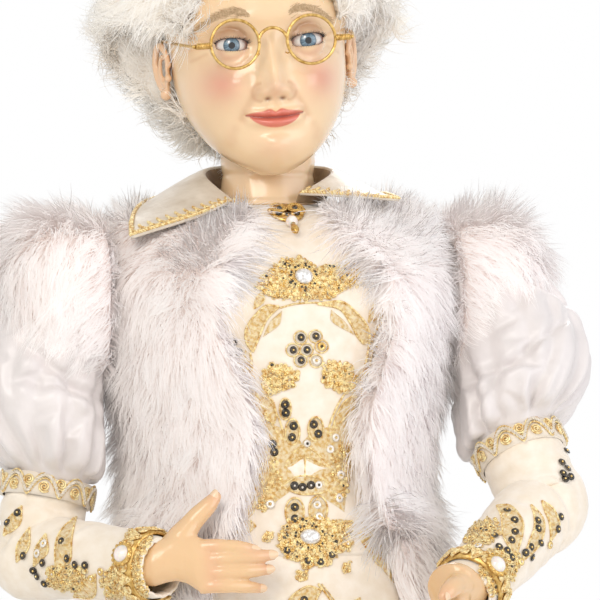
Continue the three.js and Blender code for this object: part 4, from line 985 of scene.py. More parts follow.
def line_distance(x, z, points):
    best = np.full(np.shape(x), 1e9)
    for (ax, az), (bx, bz) in zip(points[:-1], points[1:]):
        dx, dz = bx - ax, bz - az
        t = np.clip(((x - ax) * dx + (z - az) * dz) / (dx * dx + dz * dz), 0, 1)
        best = np.minimum(best, np.hypot(x - ax - t * dx, z - az - t * dz))
    return best


def mouth_line(x):
    return 42.9 + 0.0085 * x**2


def face_out(x, z):
    """How far the face's forms stand out at places across and up the face."""
    near = np.abs(x)
    total = np.zeros_like(x)
    for across, rise, wide, high, out in FACE_FORMS:
        total += out * spot(near - across, wide, z - rise, high)
        if across:
            total += out * spot(near + across, wide, z - rise, high)
    for points, width, depth in FACE_FOLDS:
        total -= depth * bell(line_distance(near, z, points), width)
    bow = 1.0 * bell(near - 3.2, 2.4) - 0.5 * bell(near, 1.4)
    side = np.clip(1 - (near / 15.5) ** 2, 0, 1)
    upper = z - mouth_line(x)
    total += 2.6 * side**0.8 * bell(upper - 2.0 - 0.6 * bow, 1.9)
    total += 3.1 * side * bell(upper + 2.7, 2.3)
    total -= 2.0 * np.clip(side, 0, 1) ** 0.5 * bell(upper, 0.75)
    return total


def lid_out(x, z, face):
    """The face with the lids' domes joined softly to it. face is how far forward it is."""
    for side in (-1, 1):
        r2 = (x - side * EYE_AT[0]) ** 2 + (z - EYE_AT[2]) ** 2
        dome = -EYE_AT[1] + np.sqrt(np.maximum(LID_RADIUS**2 - r2, 0)) - np.maximum(r2 - LID_RADIUS**2, 0)
        h = np.clip(0.5 + 0.5 * (dome - face) / LID_BLEND, 0, 1)
        face = face * (1 - h) + dome * h + LID_BLEND * h * (1 - h)
        crease = line_distance(np.abs(x), z, LID_CREASE)
        face = face - 0.9 * bell(crease, 0.8) / 2
    return face


def head_point(angle, rise):
    half, front, back = (np.interp(rise, HEAD_HEIGHTS, HEAD_SIZES[:, k]) for k in range(3))
    x = half * np.sin(angle)
    middle = (front + back) / 2
    forward = -middle + (back - front) / 2 * np.cos(angle)
    share = np.clip(2 * np.cos(angle), 0, 1)
    forward = forward + face_out(x, rise) * share
    forward = np.where(np.cos(angle) > 0.2, lid_out(x, rise, forward), forward)
    return np.stack([x, -forward, rise], -1)


def face_depth(x, z):
    """The face's y at a place seen from the front."""
    half = np.interp(z, HEAD_HEIGHTS, HEAD_SIZES[:, 0])
    angle = np.arcsin(np.clip(x / half, -0.99, 0.99))
    return head_point(angle, z)[..., 1]


# The last of these three skin tones is painted shade, for the face's creases, its nostrils and round the
# nose's wings
SKIN, SKIN_PINK, SKIN_PAINTED_SHADE = tone_of("#f8d8ae"), tone_of("#e59a84"), tone_of("#c98f68")
LIP, LID_BROWN = tone_of("#dc6c5c"), tone_of("#b1805c")
EYE_WHITE, EYE_VEIN = tone_of("#f1ece6"), tone_of("#e3b9aa")
IRIS_OUTER, IRIS_INNER = tone_of("#3c5a73"), tone_of("#86a4b4")
# The second of these is the white of a painted highlight on the eyes
PUPIL, EYE_PAINTED_GLINT = vec(0.006, 0.006, 0.007), vec(1, 1, 1)
HAND_SKIN, NAIL = tone_of("#ecc595"), tone_of("#f4d3ae")


def blend_color(base, color, share):
    share = np.clip(share, 0, 1)[..., None]
    return base * (1 - share) + color * share


def face_paint(local):
    """The painted colours of the face at places in the head's frame, with painted shade in its creases and
    hollows.
    """
    x, y, z = local[..., 0], local[..., 1], local[..., 2]
    near = np.abs(x)
    front = smooth((-y - 5) / 20)
    color = np.broadcast_to(SKIN, local.shape).copy()
    cheek = spot(near - 25, 9.5, z - 61, 9)
    color = blend_color(color, SKIN_PINK, cheek * 0.75 * front)
    tip = spot(near, 6, z - 57, 5)
    color = blend_color(color, SKIN_PINK, tip * 0.3 * front)
    chin = spot(near, 9, z - 29, 6)
    color = blend_color(color, SKIN_PINK, chin * 0.22 * front)
    # The folds are painted darker by their depth: painted shade along the creases
    for points, width, depth in FACE_FOLDS:
        fold = bell(line_distance(near, z, points), width * 1.3)
        color = blend_color(color, SKIN_PAINTED_SHADE, fold * min(0.6, depth * 0.7) * front)
    # The nostrils and the creases round the nose's wings are painted darker: painted shade in these hollows
    nostril_shade = spot(near - 3.7, 1.6, z - 52.2, 1.1)
    color = blend_color(color, SKIN_PAINTED_SHADE * 0.5, nostril_shade * front)
    wing_crease_shade = bell(np.hypot(near - 6.6, (z - 55.6)) - 4.4, 0.9) * (near > 6.4)
    color = blend_color(color, SKIN_PAINTED_SHADE, wing_crease_shade * 0.35 * front)
    upper = z - mouth_line(x)
    bow = 1.0 * bell(near - 3.2, 2.4) - 0.6 * bell(near, 1.4)
    top = (3.3 + bow) * np.clip(1 - (near / 14.6) ** 2, 0, 1) ** 0.7
    low = 5.0 * np.clip(1 - (near / 12.6) ** 2, 0, 1) ** 0.6
    inside = np.clip((top - upper) / 0.5 + 0.5, 0, 1) * np.clip((low + upper) / 0.5 + 0.5, 0, 1)
    inside *= (near < 14.6)
    color = blend_color(color, LIP, inside * front * 0.9)
    # The line where the lips meet is painted darker: painted shade in the crease between them
    color = blend_color(color, LIP * 0.45, bell(upper, 0.45) * (near < 14.5) * front * 0.8)
    ex, ez = near - EYE_AT[0], z - EYE_AT[2]
    lid = bell(np.hypot(ex / 1.15, ez - 3) - 4.5, 4.2) * (ez > -1) * front
    color = blend_color(color, LID_BROWN, lid * 0.75)
    under = bell(np.hypot(ex / 1.3, ez + 2) - 4.6, 1.6) * (ez < -1) * front
    color = blend_color(color, SKIN_PINK * 0.85, under * 0.35)
    return color


def paint_mesh(made, colors):
    layer = made.data.color_attributes.get("paint")
    if layer is None:
        layer = made.data.color_attributes.new("paint", "FLOAT_COLOR", "POINT")
    values = np.ones((len(made.data.vertices), 4), np.float32)
    values[:, :3] = colors
    layer.data.foreach_set("color", values.ravel())


def head_local(points):
    return (points - vec(0, 0, NECK)) @ HEAD_TURN


def fused(name, pile, voxel, smoothing, material, body):
    """The pile's shapes grown together into one soft form."""
    made = pile.make(name, material, body)
    modify(made, "REMESH", mode="VOXEL", voxel_size=voxel * MM)
    modify(made, "SMOOTH", factor=0.5, iterations=smoothing)
    applied(made)
    return made


def make_face():
    face = np.radians(np.linspace(-84, 84, 221))
    back = np.radians(np.linspace(84, 276, 60))[1:-1]
    angles = np.concatenate([face, back])
    rises = np.unique(np.concatenate([
        np.linspace(15, 36, 24), np.linspace(36, 60, 60), np.linspace(60, 95, 60),
        np.linspace(95, 140, 24)]))
    a, z = np.meshgrid(angles, rises)
    local = head_point(a, z)
    # Behind each eye patch the face goes in, under its edge
    for side in (-1, 1):
        near = np.hypot((local[..., 0] - side * EYE_AT[0]) / EYE_PATCH[0],
                        (local[..., 2] - EYE_AT[2]) / EYE_PATCH[1])
        inward = smooth((0.95 - near) / 0.2) * (np.cos(a) > 0.2)
        local[..., 1] += inward * 9
    top = np.array([[0, 6, 140.0]])
    chin = np.array([[0, -29, 14.5]])
    rows = np.concatenate([
        np.broadcast_to(chin, (1, len(angles), 3)), local, np.broadcast_to(top, (1, len(angles), 3))])
    made = quad_mesh("face", placed(rows), grid_quads(len(rows), len(angles), True), "resin", "head",
                     paint=face_paint(rows).reshape(-1, 3))
    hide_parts("head")

    for side, label in SIDES:
        around = full_turn(96)
        wide, up, down = EYE_OPEN
        open_x = wide * np.cos(around)
        lift = np.where(np.sin(around) > 0, up, down) * np.abs(np.sin(around)) ** 0.85
        open_z = lift * np.sign(np.sin(around)) - 0.35 + 0.35 * np.cos(around)
        edge_x, edge_z = EYE_PATCH[0] * 1.02 * np.cos(around), EYE_PATCH[1] * 1.02 * np.sin(around)
        rings = []
        lash_line = None
        for s in (-1, -0.5, *np.linspace(0, 1, 22)):
            out = max(s, 0) ** 1.25
            px = (open_x * (1 - out) + edge_x * out) * side + side * EYE_AT[0]
            pz = open_z * (1 - out) + edge_z * out + EYE_AT[2]
            py = face_depth(px, pz) - 0.04
            if s <= 0:
                r2 = (px - side * EYE_AT[0]) ** 2 + (pz - EYE_AT[2]) ** 2
                ball = EYE_AT[1] - np.sqrt(np.maximum(EYE_RADIUS**2 - r2, 0))
                py = py + (ball + 0.3 - py) * -s
            ring = np.stack([px, py, pz], -1)
            if s == 0:
                lash_line = ring
            rings.append(ring)
        rings = np.array(rings)
        colors = face_paint(rings)
        colors[:2] = blend_color(colors[:2], SKIN_PINK * 0.7, np.full(colors[:2].shape[:2], 0.7))
        upper = (np.sin(around) > 0.05)
        colors[2] = np.where(upper[:, None], LIP * 0.18, colors[2] * 0.75)
        colors[3] = np.where(upper[:, None], colors[3] * 0.55, colors[3])
        quads = grid_quads(len(rings), len(around), True)
        if side < 0:
            quads = quads[:, ::-1]
        quad_mesh("lids_" + label, placed(rings), quads, "resin", "head",
                  paint=colors.reshape(-1, 3))
        make_eye(side, label)
        make_lashes(side, label, lash_line, around)
        make_ear(side, label)
    make_neck()


def make_eye(side, label):
    """An eyeball with an iris painted on it and a white glint, a painted highlight, looking straight ahead.
    """
    rng = np.random.default_rng(5)
    bands = np.concatenate([np.linspace(0, 30, 40), np.linspace(31, 178, 40)])
    around = full_turn(96)
    t, a = np.meshgrid(np.radians(bands), around, indexing="ij")
    gaze = unit(vec(0.02 * side, -1, -0.03))
    across = unit(np.cross(gaze, UP))
    up = np.cross(across, gaze)
    bulge = EYE_RADIUS + 0.25 * np.clip(1 - (t / math.radians(30)) ** 2, 0, 1)
    rings = (gaze * (np.cos(t) * bulge)[..., None] + across * (np.sin(t) * np.cos(a) * bulge)[..., None]
             + up * (np.sin(t) * np.sin(a) * bulge)[..., None])
    rings += EYE_AT * np.array([side, 1, 1])
    r = EYE_RADIUS * np.sin(t)
    streak = rng.random(len(around))
    streak = (streak + np.roll(streak, 1)) / 2
    color = np.broadcast_to(EYE_WHITE, (*r.shape, 3)).copy()
    color = blend_color(color, EYE_VEIN, np.clip((r - 6.4) / 2, 0, 1) * 0.6 * (t < 1.6))
    iris = IRIS_INNER * (1 - streak)[None, :, None] * 1.1 + IRIS_OUTER * streak[None, :, None]
    iris = iris * np.clip(1.15 - 0.75 * np.clip((r - 2.8) / 1.4, 0, 1), 0, 1)[..., None]
    inside = np.clip((4.15 - r) / 0.3 + 0.5, 0, 1) * (t < 1.5)
    color = color * (1 - inside[..., None]) + iris * inside[..., None]
    pupil = np.clip((1.65 - r) / 0.2 + 0.5, 0, 1) * (t < 1.5)
    color = blend_color(color, PUPIL, pupil)
    # A white glint up and to one side of the pupil: a painted highlight
    off = np.hypot(rings[..., 0] - side * EYE_AT[0] + 1.5, rings[..., 2] - EYE_AT[2] - 1.7)
    color = blend_color(color, EYE_PAINTED_GLINT, np.exp(-((off / 0.62) ** 4)) * (t < 1.0) * 0.95)
    made = quad_mesh("eyeball_" + label, placed(rings), grid_quads(len(bands), len(around), True), "eye",
                     "head", paint=color.reshape(-1, 3))
    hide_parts("eye_" + label)


def make_lashes(side, label, edge, around):
    rng = np.random.default_rng(21 + side)
    lines, ups = [], []
    for k in np.linspace(3, 45, 58):
        lines.append((k, 1))
    for k in np.linspace(54, 90, 26):
        lines.append((k, -1))
    paths = []
    for k, way in lines:
        i = int(k) % len(around)
        t = k - int(k)
        base = edge[i] * (1 - t) + edge[(i + 1) % len(around)] * t + vec(0, -0.1, 0)
        out = vec(math.cos(around[i]) * side * 0.75, 0, 0)
        long = (3.6 if way > 0 else 1.9) * rng.uniform(0.8, 1.15)
        tip = unit(out + vec(0, -0.85, 0.75 * way) + rng.normal(size=3) * 0.12)
        bend = unit(out + vec(0, -1.1, -0.05 * way))
        s = np.linspace(0, 1, 5)[:, None]
        paths.append(base + long * (bend * s * (1 - 0.5 * s) + tip * 0.5 * s * s))
        ups.append(vec(0, -1, 0))
    paths = placed(np.array(paths))
    widths = np.broadcast_to(0.34 * (1 - np.linspace(0, 0.85, 5))[None], paths.shape[:2])
    colors = np.ones(paths.shape)
    strands("lashes_" + label, "lash", "head", paths, widths, np.array(ups) @ HEAD_TURN.T, colors, rng)

    # The brow: short hairs combed outwards along a low arch
    brow = []
    for _ in range(260):
        t = rng.random()
        px = side * (9.5 + 22 * t)
        arch = 92.6 + 4.2 * math.sin(math.pi * min(1, t * 0.9 + 0.12)) - 2.2 * t
        pz = arch + rng.normal() * 0.9 * (1.1 - 0.6 * t)
        way = unit(vec(side, 0, 0.55 - 1.1 * t) + rng.normal(size=3) * 0.16)
        s = np.linspace(0, 1, 4)
        xs, zs = px + way[0] * s * 4.4, pz + way[2] * s * 4.4
        ys = face_depth(xs, zs) - 0.1 - 0.45 * np.sin(s * math.pi)
        brow.append(np.stack([xs, ys, zs], -1))
    brow = placed(np.array(brow))
    widths = np.broadcast_to(0.36 * (1 - np.linspace(0, 0.7, 4))[None], brow.shape[:2])
    out = np.tile(vec(0, -1, 0) @ HEAD_TURN.T, (len(brow), 1))
    strands("brow_" + label, "brow", "head", brow, widths, out, np.ones(brow.shape), rng)


def make_ear(side, label):
    pile = Pile()
    centre = vec(side * 46.5, 4, 69)

    def at(back, up, out):
        return centre + vec(side * (out + 0.25 * back * 0.6), back, up)

    rim = even([at(-5, 3, -1), at(-5, 9, 0.5), at(-1, 13.6, 1.5), at(4, 13, 2.2), at(7.4, 7, 2.6),
                at(7, 0, 2.4), at(4.6, -6, 1.6), at(1, -10, 0.8)], 0.8)
    pile.tube(rim, np.interp(np.linspace(0, 1, len(rim)), [0, 0.3, 0.8, 1], [1.2, 1.9, 1.8, 1.4]), 10)
    inner = even([at(-1.5, 8, 0.2), at(2.4, 8, 1.0), at(3.8, 3, 1.4), at(2.8, -3, 1.1),
                  at(0, -5.6, 0.8)], 0.8)
    pile.tube(inner, 1.25, 8)
    pile.turned([(TINY, -1.8), (6.2, -1.2), (7.4, 0), (6.2, 0.8), (TINY, 0.4)], 20, at(0.4, 2.4, -1.2),
                vec(side, 0.2, 0))
    pile.turned([(TINY, -1.6), (4.4, -1.0), (5.2, 0), (4.4, 0.8), (TINY, 0.6)], 18, at(0.6, -5.4, -0.8),
                vec(side, 0.2, 0))
    pile.ball(at(-0.6, -10.6, 0.6), 3.1)
    pile.ball(at(-5.2, -2.6, 0.2), 2.1)
    ear = fused("ear_" + label, pile, 0.8, 4, "resin", None)
    local = points_of(ear)
    color = blend_color(np.broadcast_to(SKIN, local.shape).copy(), SKIN_PINK, np.full(len(local), 0.22))
    paint_mesh(ear, color)
    move_points(ear, placed(local))
    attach(ear, "head")


def make_neck():
    heights = np.concatenate([[-6, -2], np.linspace(0, 40, 50)])
    radii = 23.4 + 1.6 * np.clip(1 - heights / 9, 0, 1) ** 2 + 0.5 * np.sin(heights * 0.32) * (heights > 3)
    radii = np.where(heights < 0, 22.5, radii)
    radii -= 0.45 * bell(heights - 15, 1.4) + 0.4 * bell(heights - 24, 1.4)
    around = full_turn(120)
    a, z = np.meshgrid(around, heights)
    r = np.broadcast_to(radii[:, None], a.shape)
    cord = 0.9 * bell(np.abs(np.sin(a / 2)) * 2 - 0.52 - z * 0.012, 0.14) * (np.cos(a) > 0)
    r = r + cord
    lean = np.clip(z / 40, 0, 1)
    verts = np.stack([r * np.sin(a), -r * np.cos(a) + 1.5 * lean, z + NECK], -1)
    color = np.broadcast_to(SKIN, verts.shape).copy()
    quad_mesh("neck", verts, grid_quads(len(heights), len(around), True), "resin", "head",
              paint=color.reshape(-1, 3))


# Spectacles


def make_spectacles():
    x, y, z = 19.0, -60.0, 80.0
    rim, wire = 12.0, 0.8
    pile = Pile()
    for side in (-1, 1):
        t = np.linspace(0, TAU, 73)
        ring = np.stack([side * x + rim * np.cos(t), np.full_like(t, y), z + rim * np.sin(t)], -1)
        pile.tube(placed(ring), wire, 8)
        start = side * (x + rim - 0.4)
        core = np.array([[start, y, z], [side * (x + rim + 4), y, z], [side * (x + rim + 8), y + 0.3, z]])
        pile.tube(placed(core), 0.9, 8)
        turns = np.linspace(0, TAU * 9, 220)
        coil = np.stack([
            side * (x + rim + 0.2 + 7.2 * turns / turns[-1]), y + 1.25 * np.cos(turns),
            z + 1.25 * np.sin(turns)], -1)
        pile.tube(placed(coil), 0.48, 5)
        end = vec(side * 46.7, 4, 85.2)
        start = vec(side * (x + rim + 7.4), y + 0.4, z)
        knee = start + vec(side * 1.3, 1.6, 0.1)
        middle = (start + end) / 2 + vec(side * 1.6, 0, 0)
        temple = even([start, knee, middle, end, end + vec(0, 4.5, -2.2)], 2)
        radii = np.interp(np.linspace(0, 1, len(temple)), [0, 0.1, 1], [1.1, 0.75, 0.75])
        pile.tube(placed(temple), radii, 8)
        pad = even([vec(side * 8.3, y + 0.3, z - 5.2), vec(side * 7.4, y + 3.2, z - 6.0),
                    vec(side * 6.6, y + 5.4, z - 5.4)], 0.6)
        pile.tube(placed(pad), 0.4, 6)
    inner = x - rim
    arch = even([vec(-inner - 0.2, y, z + 1.4), vec(-inner * 0.8, y + 0.3, z + 4.4),
                 vec(-inner * 0.4, y + 0.8, z + 6.4), vec(0, y + 1.0, z + 7.0),
                 vec(inner * 0.4, y + 0.8, z + 6.4), vec(inner * 0.8, y + 0.3, z + 4.4),
                 vec(inner + 0.2, y, z + 1.4)], 0.8)
    pile.tube(placed(arch), 0.85, 8)
    made = pile.make("spectacle_wires", "gold", "spectacles")
    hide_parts("spectacle_front", "temple_right", "temple_left")


# Collar, clasp and pearl

COLLAR_CARRIERS = ("vest_front_right", "vest_front_left", "cape_back")
# Half the turn of its cloth round the neck, the turn of its opening and the part of its width that stands
COLLAR_WRAP, COLLAR_YAW, COLLAR_STAND = math.radians(152), math.radians(-12), 0.35
COLLAR_ROWS, COLLAR_COLUMNS, COLLAR_LINED = 40, 121, 11


def collar_point(u, v, carrier):
    """A place on the collar, whose leaves lie on what the carrier's tree holds."""
    angle = math.pi - COLLAR_WRAP + 2 * COLLAR_WRAP * u + COLLAR_YAW
    front = np.abs(2 * u - 1) ** 3
    rise = np.minimum(1, v / COLLAR_STAND)
    fall = np.maximum(0, (v - COLLAR_STAND) / (1 - COLLAR_STAND))
    far, front_drop, sag, swing = (np.where(u < 0.5, one, other) for one, other in (
        (18, 38), (3, 16), (0, 6 * front), (38, 22)))
    radius = 28.5 + 4 * rise + (20 + far * front) * fall
    fold_line = 19 - 15 * front
    drop = (14 + (front_drop - 14) * front) * fall**1.3
    turn = angle + front * fall * np.radians(swing) * np.sign(0.5 - u)
    height = NECK + 1 + fold_line * np.sin(rise * math.pi / 2) - drop - sag
    points = np.stack([radius * np.sin(turn), -radius * np.cos(turn), height], -1)
    for place in points.reshape(-1, 3):
        under = carrier.ray_cast(Vector((place[0], place[1], NECK + 60)), Vector((0, 0, -1)))[0]
        if under is not None:
            place[2] = max(place[2], under[2] + 0.8)
    return points


def make_collar():
    carrier = tree_of(*[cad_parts[node] for node in COLLAR_CARRIERS])
    u, v = np.meshgrid(np.linspace(0, 1, COLLAR_COLUMNS), np.linspace(0, 1, COLLAR_ROWS))
    verts = collar_point(u, v, carrier)
    quads = grid_quads(COLLAR_ROWS, COLLAR_COLUMNS)[:, ::-1]
    made = quad_mesh("collar_satin", verts, quads, "collar_satin", "figure")
    # The stand's rows take the dark brown lining: painted shade inside the stand
    made.data.materials.append(MATERIALS["lining"])
    rows = np.repeat(np.arange(COLLAR_ROWS - 1), COLLAR_COLUMNS - 1)
    made.data.polygons.foreach_set("material_index", (rows < COLLAR_LINED).astype(np.int32))
    modify(made, "SOLIDIFY", thickness=1.1 * MM, offset=0)
    applied(made)
    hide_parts("collar")

    def edge(inset):
        s = np.linspace(0, 1, 60)
        left = [(inset * 0.5 / 4, t) for t in np.linspace(0.32, 1 - inset / 30, 24)]
        bottom = [(inset * 0.5 / 4 + (1 - inset / 4) * t, 1 - inset / 30) for t in s]
        right = [(1 - inset * 0.5 / 4, t) for t in np.linspace(1 - inset / 30, 0.32, 24)]
        return np.array(left + bottom + right)

    def lifted(pairs, off):
        def near(du, dv):
            return collar_point(np.clip(pairs[:, 0] + du, 0, 1), np.clip(pairs[:, 1] + dv, 0, 1), carrier)

        p = near(0, 0)
        du = near(0.01, 0) - near(-0.01, 0)
        dv = near(0, 0.01) - near(0, -0.01)
        normal = unit(np.cross(du, dv))
        normal *= np.where(normal[:, 2:] < 0, -1, 1)
        return p + normal * off

    trim = Pile()
    outer = lifted(edge(0.05), 0.9)
    trim.twist(outer, 1.15, 3.2)
    # A scrolling cord beside the edge
    inner = edge(0.12)
    base = even(lifted(inner, 1.0), 0.5)
    side = even(lifted(edge(0.24), 1.0), 0.5)
    side = np.stack([np.interp(np.linspace(0, 1, len(base)), np.linspace(0, 1, len(side)), side[:, k])
                     for k in range(3)], -1)
    t = np.arange(len(base)) * 0.5 / 5.2 * TAU
    wave = base + (side - base) * (0.5 + 0.75 * np.sin(t))[:, None]
    wave += np.gradient(base, axis=0) * (2.2 * np.cos(t))[:, None]
    trim.twist(wave, 0.75, 2.4)
    trim.make("collar_braid", "gold_thread", "figure")
    return made


def make_clasp():
    at, normal = dress(0.0, NECK - 5, 0.5)
    down = unit(np.cross(vec(1, 0, 0), normal))
    down = down if down[2] < 0 else -down
    gold, dark, pearl = Pile(), Pile(), Pile()
    side = np.cross(normal, down)
    for k in range(9):
        t = (k - 4) / 4
        place = at + side * t * 8.4 + normal * 1.6 - down * (1.6 * (1 - t * t))
        gold.ball(place, 1.5 + 0.4 * (k % 2), 10)
    for k in range(7):
        t = (k - 3) / 3
        place = at + side * t * 7.0 + normal * 1.5 + down * (2.6 + 1.2 * (1 - t * t))
        (dark if k % 2 else gold).ball(place, 1.35, 9)
    for t in (-0.5, 0.5):
        dark.ball(at + side * t * 8 + normal * 3.0 + down * 0.6, 1.6, 9)
    gold.turned([(TINY, 0), (8.6, 0), (8.9, 0.5), (7.8, 1.3), (TINY, 1.8)], 28, at, normal)
    for way in (-1, 1):
        t = np.linspace(0, TAU * 2.5, 50)
        r = np.linspace(1.7, 4.3, 50)
        coil = (at + normal * 3.2 + side * (way * 4.4 + r * np.cos(t) * way)[:, None]
                + down * (r * np.sin(t) - 0.6)[:, None])
        gold.twist(coil, 0.6, 2.0)
    drop_top = at + normal * 2.6 + down * 12.3
    pearl.ball(drop_top, 3.0, 20)
    gold.turned([(TINY, -0.9), (1.5, -0.7), (1.8, 0), (0.8, 0.6), (TINY, 0.8)], 12,
                drop_top - down * 2.9, down)
    gold.twist(even([at + normal * 2.2 + down * 3.5, drop_top - down * 3.2], 1), 0.5, 1.6)
    gold.turned([(TINY, 2.4), (1.3, 2.8), (0.9, 3.6), (1.9, 6.4), (2.1, 8.2), (1.2, 10.4), (TINY, 11.2)],
                14, drop_top, down)
    made = gold.make("clasp_gold", "gold", "figure")
    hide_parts("neck_clasp")
    made = pearl.make("clasp_pearl", "pearl", "figure")
    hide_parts("pearl_drop")
    dark.make("clasp_beads", "dark_sequin", "figure")


# Sleeves and hands

PUFF_FULL = np.array([(-0.05, 0.45), (0.08, 0.72), (0.25, 0.92), (0.45, 1), (0.65, 1.04), (0.82, 1),
                      (0.94, 0.84), (1, 0.62)])


PUFF_FOLDS, PUFF_CREASES, PUFF_INNER = 15, 12, 88.8
ARM_FOLDS, ELBOW_FOLDS = 26, 18
CLOTH_SCALE, CLOTH_FRAMES, CLOTH_CAP = 10, 20, 3


def settled(verts):
    """A round of cloth blown up a little between its first and last rows, which stay where they are."""
    rows, columns = verts.shape[:2]
    mesh = bpy.data.meshes.new("cloth")
    places = verts.reshape(-1, 3) * MM * CLOTH_SCALE
    mesh.from_pydata(places.tolist(), [], grid_quads(rows, columns, True).tolist())
    cloth = bpy.data.objects.new("cloth", mesh)
    bpy.context.scene.collection.objects.link(cloth)
    pins = cloth.vertex_groups.new(name="pins")
    pins.add(list(range(columns * 2)) + list(range(columns * (rows - 3), columns * rows)), 1.0, "REPLACE")
    modify(cloth, "CLOTH")
    modifier = cloth.modifiers[0]
    settings = modifier.settings
    settings.quality = 6
    settings.mass = 0.2
    settings.tension_stiffness = settings.compression_stiffness = 20
    settings.shear_stiffness = 8
    settings.bending_stiffness = 6
    settings.use_pressure = True
    settings.uniform_pressure_force = 4
    settings.vertex_group_mass = "pins"
    settings.shrink_min = -0.07
    settings.effector_weights.gravity = 0
    modifier.collision_settings.use_collision = False
    scene = bpy.context.scene
    scene.frame_start, scene.frame_end = 1, CLOTH_FRAMES
    for step in range(1, CLOTH_FRAMES + 1):
        scene.frame_set(step)
    blown = cloth.evaluated_get(bpy.context.evaluated_depsgraph_get())
    places = points_of(blown).reshape(rows, columns, 3) / CLOTH_SCALE
    bpy.data.objects.remove(cloth)
    scene.frame_set(1)
    moved = places - verts
    far = np.linalg.norm(moved, axis=-1, keepdims=True)
    return verts + moved * np.clip(CLOTH_CAP / (far + 1e-9), 0, 1)


def make_puff(label, arm):
    rng = np.random.default_rng(31 + arm["side"])
    band = arm["band"] - arm["upper"] * (BRAID_WIDTH / 2 + 0.3)
    sideways = unit(vec(1, 0, 0) - arm["upper"] * arm["upper"][0])
    forward = np.cross(arm["upper"], sideways)
    rows, columns = 84, 156
    t = np.linspace(-0.05, 1, rows)
    full = np.interp(t, PUFF_FULL[:, 0], PUFF_FULL[:, 1])
    full = np.convolve(np.pad(full, 4, mode="edge"), np.ones(9) / 9, "valid")
    full[-6:] = np.linspace(full[-6], 0.62, 6)
    centre = arm["shoulder"] + (band - arm["shoulder"]) * t[:, None]
    centre[:, 0] += arm["side"] * PUFF_BULGE * np.sin(math.pi * np.clip(t, 0, 1))
    a = full_turn(columns)[None]
    tt = t[:, None]
    fold = np.zeros((rows, columns))
    ends = 0.35 + 0.65 * np.clip(np.abs(tt - 0.5) * 2, 0, 1) ** 1.6
    for k in range(PUFF_FOLDS):
        middle = TAU * (k + rng.uniform(-0.3, 0.3)) / PUFF_FOLDS
        sway = rng.uniform(-0.5, 0.5) * (tt - 0.5) + 0.12 * np.sin(tt * 5 + k)
        away = turn_between(a - middle, sway)
        depth = rng.uniform(0.08, 0.19) * ends
        fold -= depth * bell(away, rng.uniform(0.07, 0.13))
        fold += depth * 0.6 * bell(np.abs(away) - 0.2, 0.11)
    for _ in range(PUFF_CREASES):
        middle, level = rng.uniform(0, TAU), rng.uniform(0.2, 0.85)
        away = turn_between(a, middle)
        slope = rng.uniform(-0.9, 0.9)
        across = (tt - level) - slope * away * 0.35
        fold -= rng.uniform(0.04, 0.09) * spot(across, 0.03, away, 0.75)
        fold += 0.035 * spot(across - 0.07, 0.05, away, 0.8)
    swell = full[:, None] * (1 + fold * np.clip((1 - tt) / 0.07, 0, 1))
    verts = (centre[:, None] + sideways * (np.cos(a) * PUFF_WIDTH * swell)[..., None]
             + forward * (np.sin(a) * PUFF_DEPTH * swell)[..., None])
    verts = settled(verts)
    hem = band + (verts[-1] - band) * 0.86 + arm["upper"] * 4
    verts = np.concatenate([verts, hem[None]])
    # The side against the body is pressed flat
    reach = verts[..., 0] * arm["side"]
    pressed = PUFF_INNER + (reach - PUFF_INNER) * 0.04
    verts[..., 0] = np.where(reach < PUFF_INNER, pressed, reach) * arm["side"]
    tt = np.append(t, 1.04)[:, None]
    uv = np.stack(np.broadcast_arrays(a * PUFF_DEPTH, tt * 120), -1).reshape(-1, 2) * MM
    made = quad_mesh("puff_" + label, verts, grid_quads(rows + 1, columns, True), "satin",
                     "upper_arm_" + label, uv=uv)
    modify(made, "SUBSURF", levels=1, render_levels=1)
    applied(made)
    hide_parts("puff_sleeve_" + label)
    return made


def sleeve_line(arm):
    elbow, wrist = arm["elbow"], arm["wrist"]
    upper, fore = arm["upper"], arm["fore"]
    return even([arm["band"] - upper * 4, elbow - upper * 15, elbow + upper * 1.5 - fore * 1.5,
                 elbow + fore * 17, elbow + (wrist - elbow) * 0.62, wrist], 1.2)


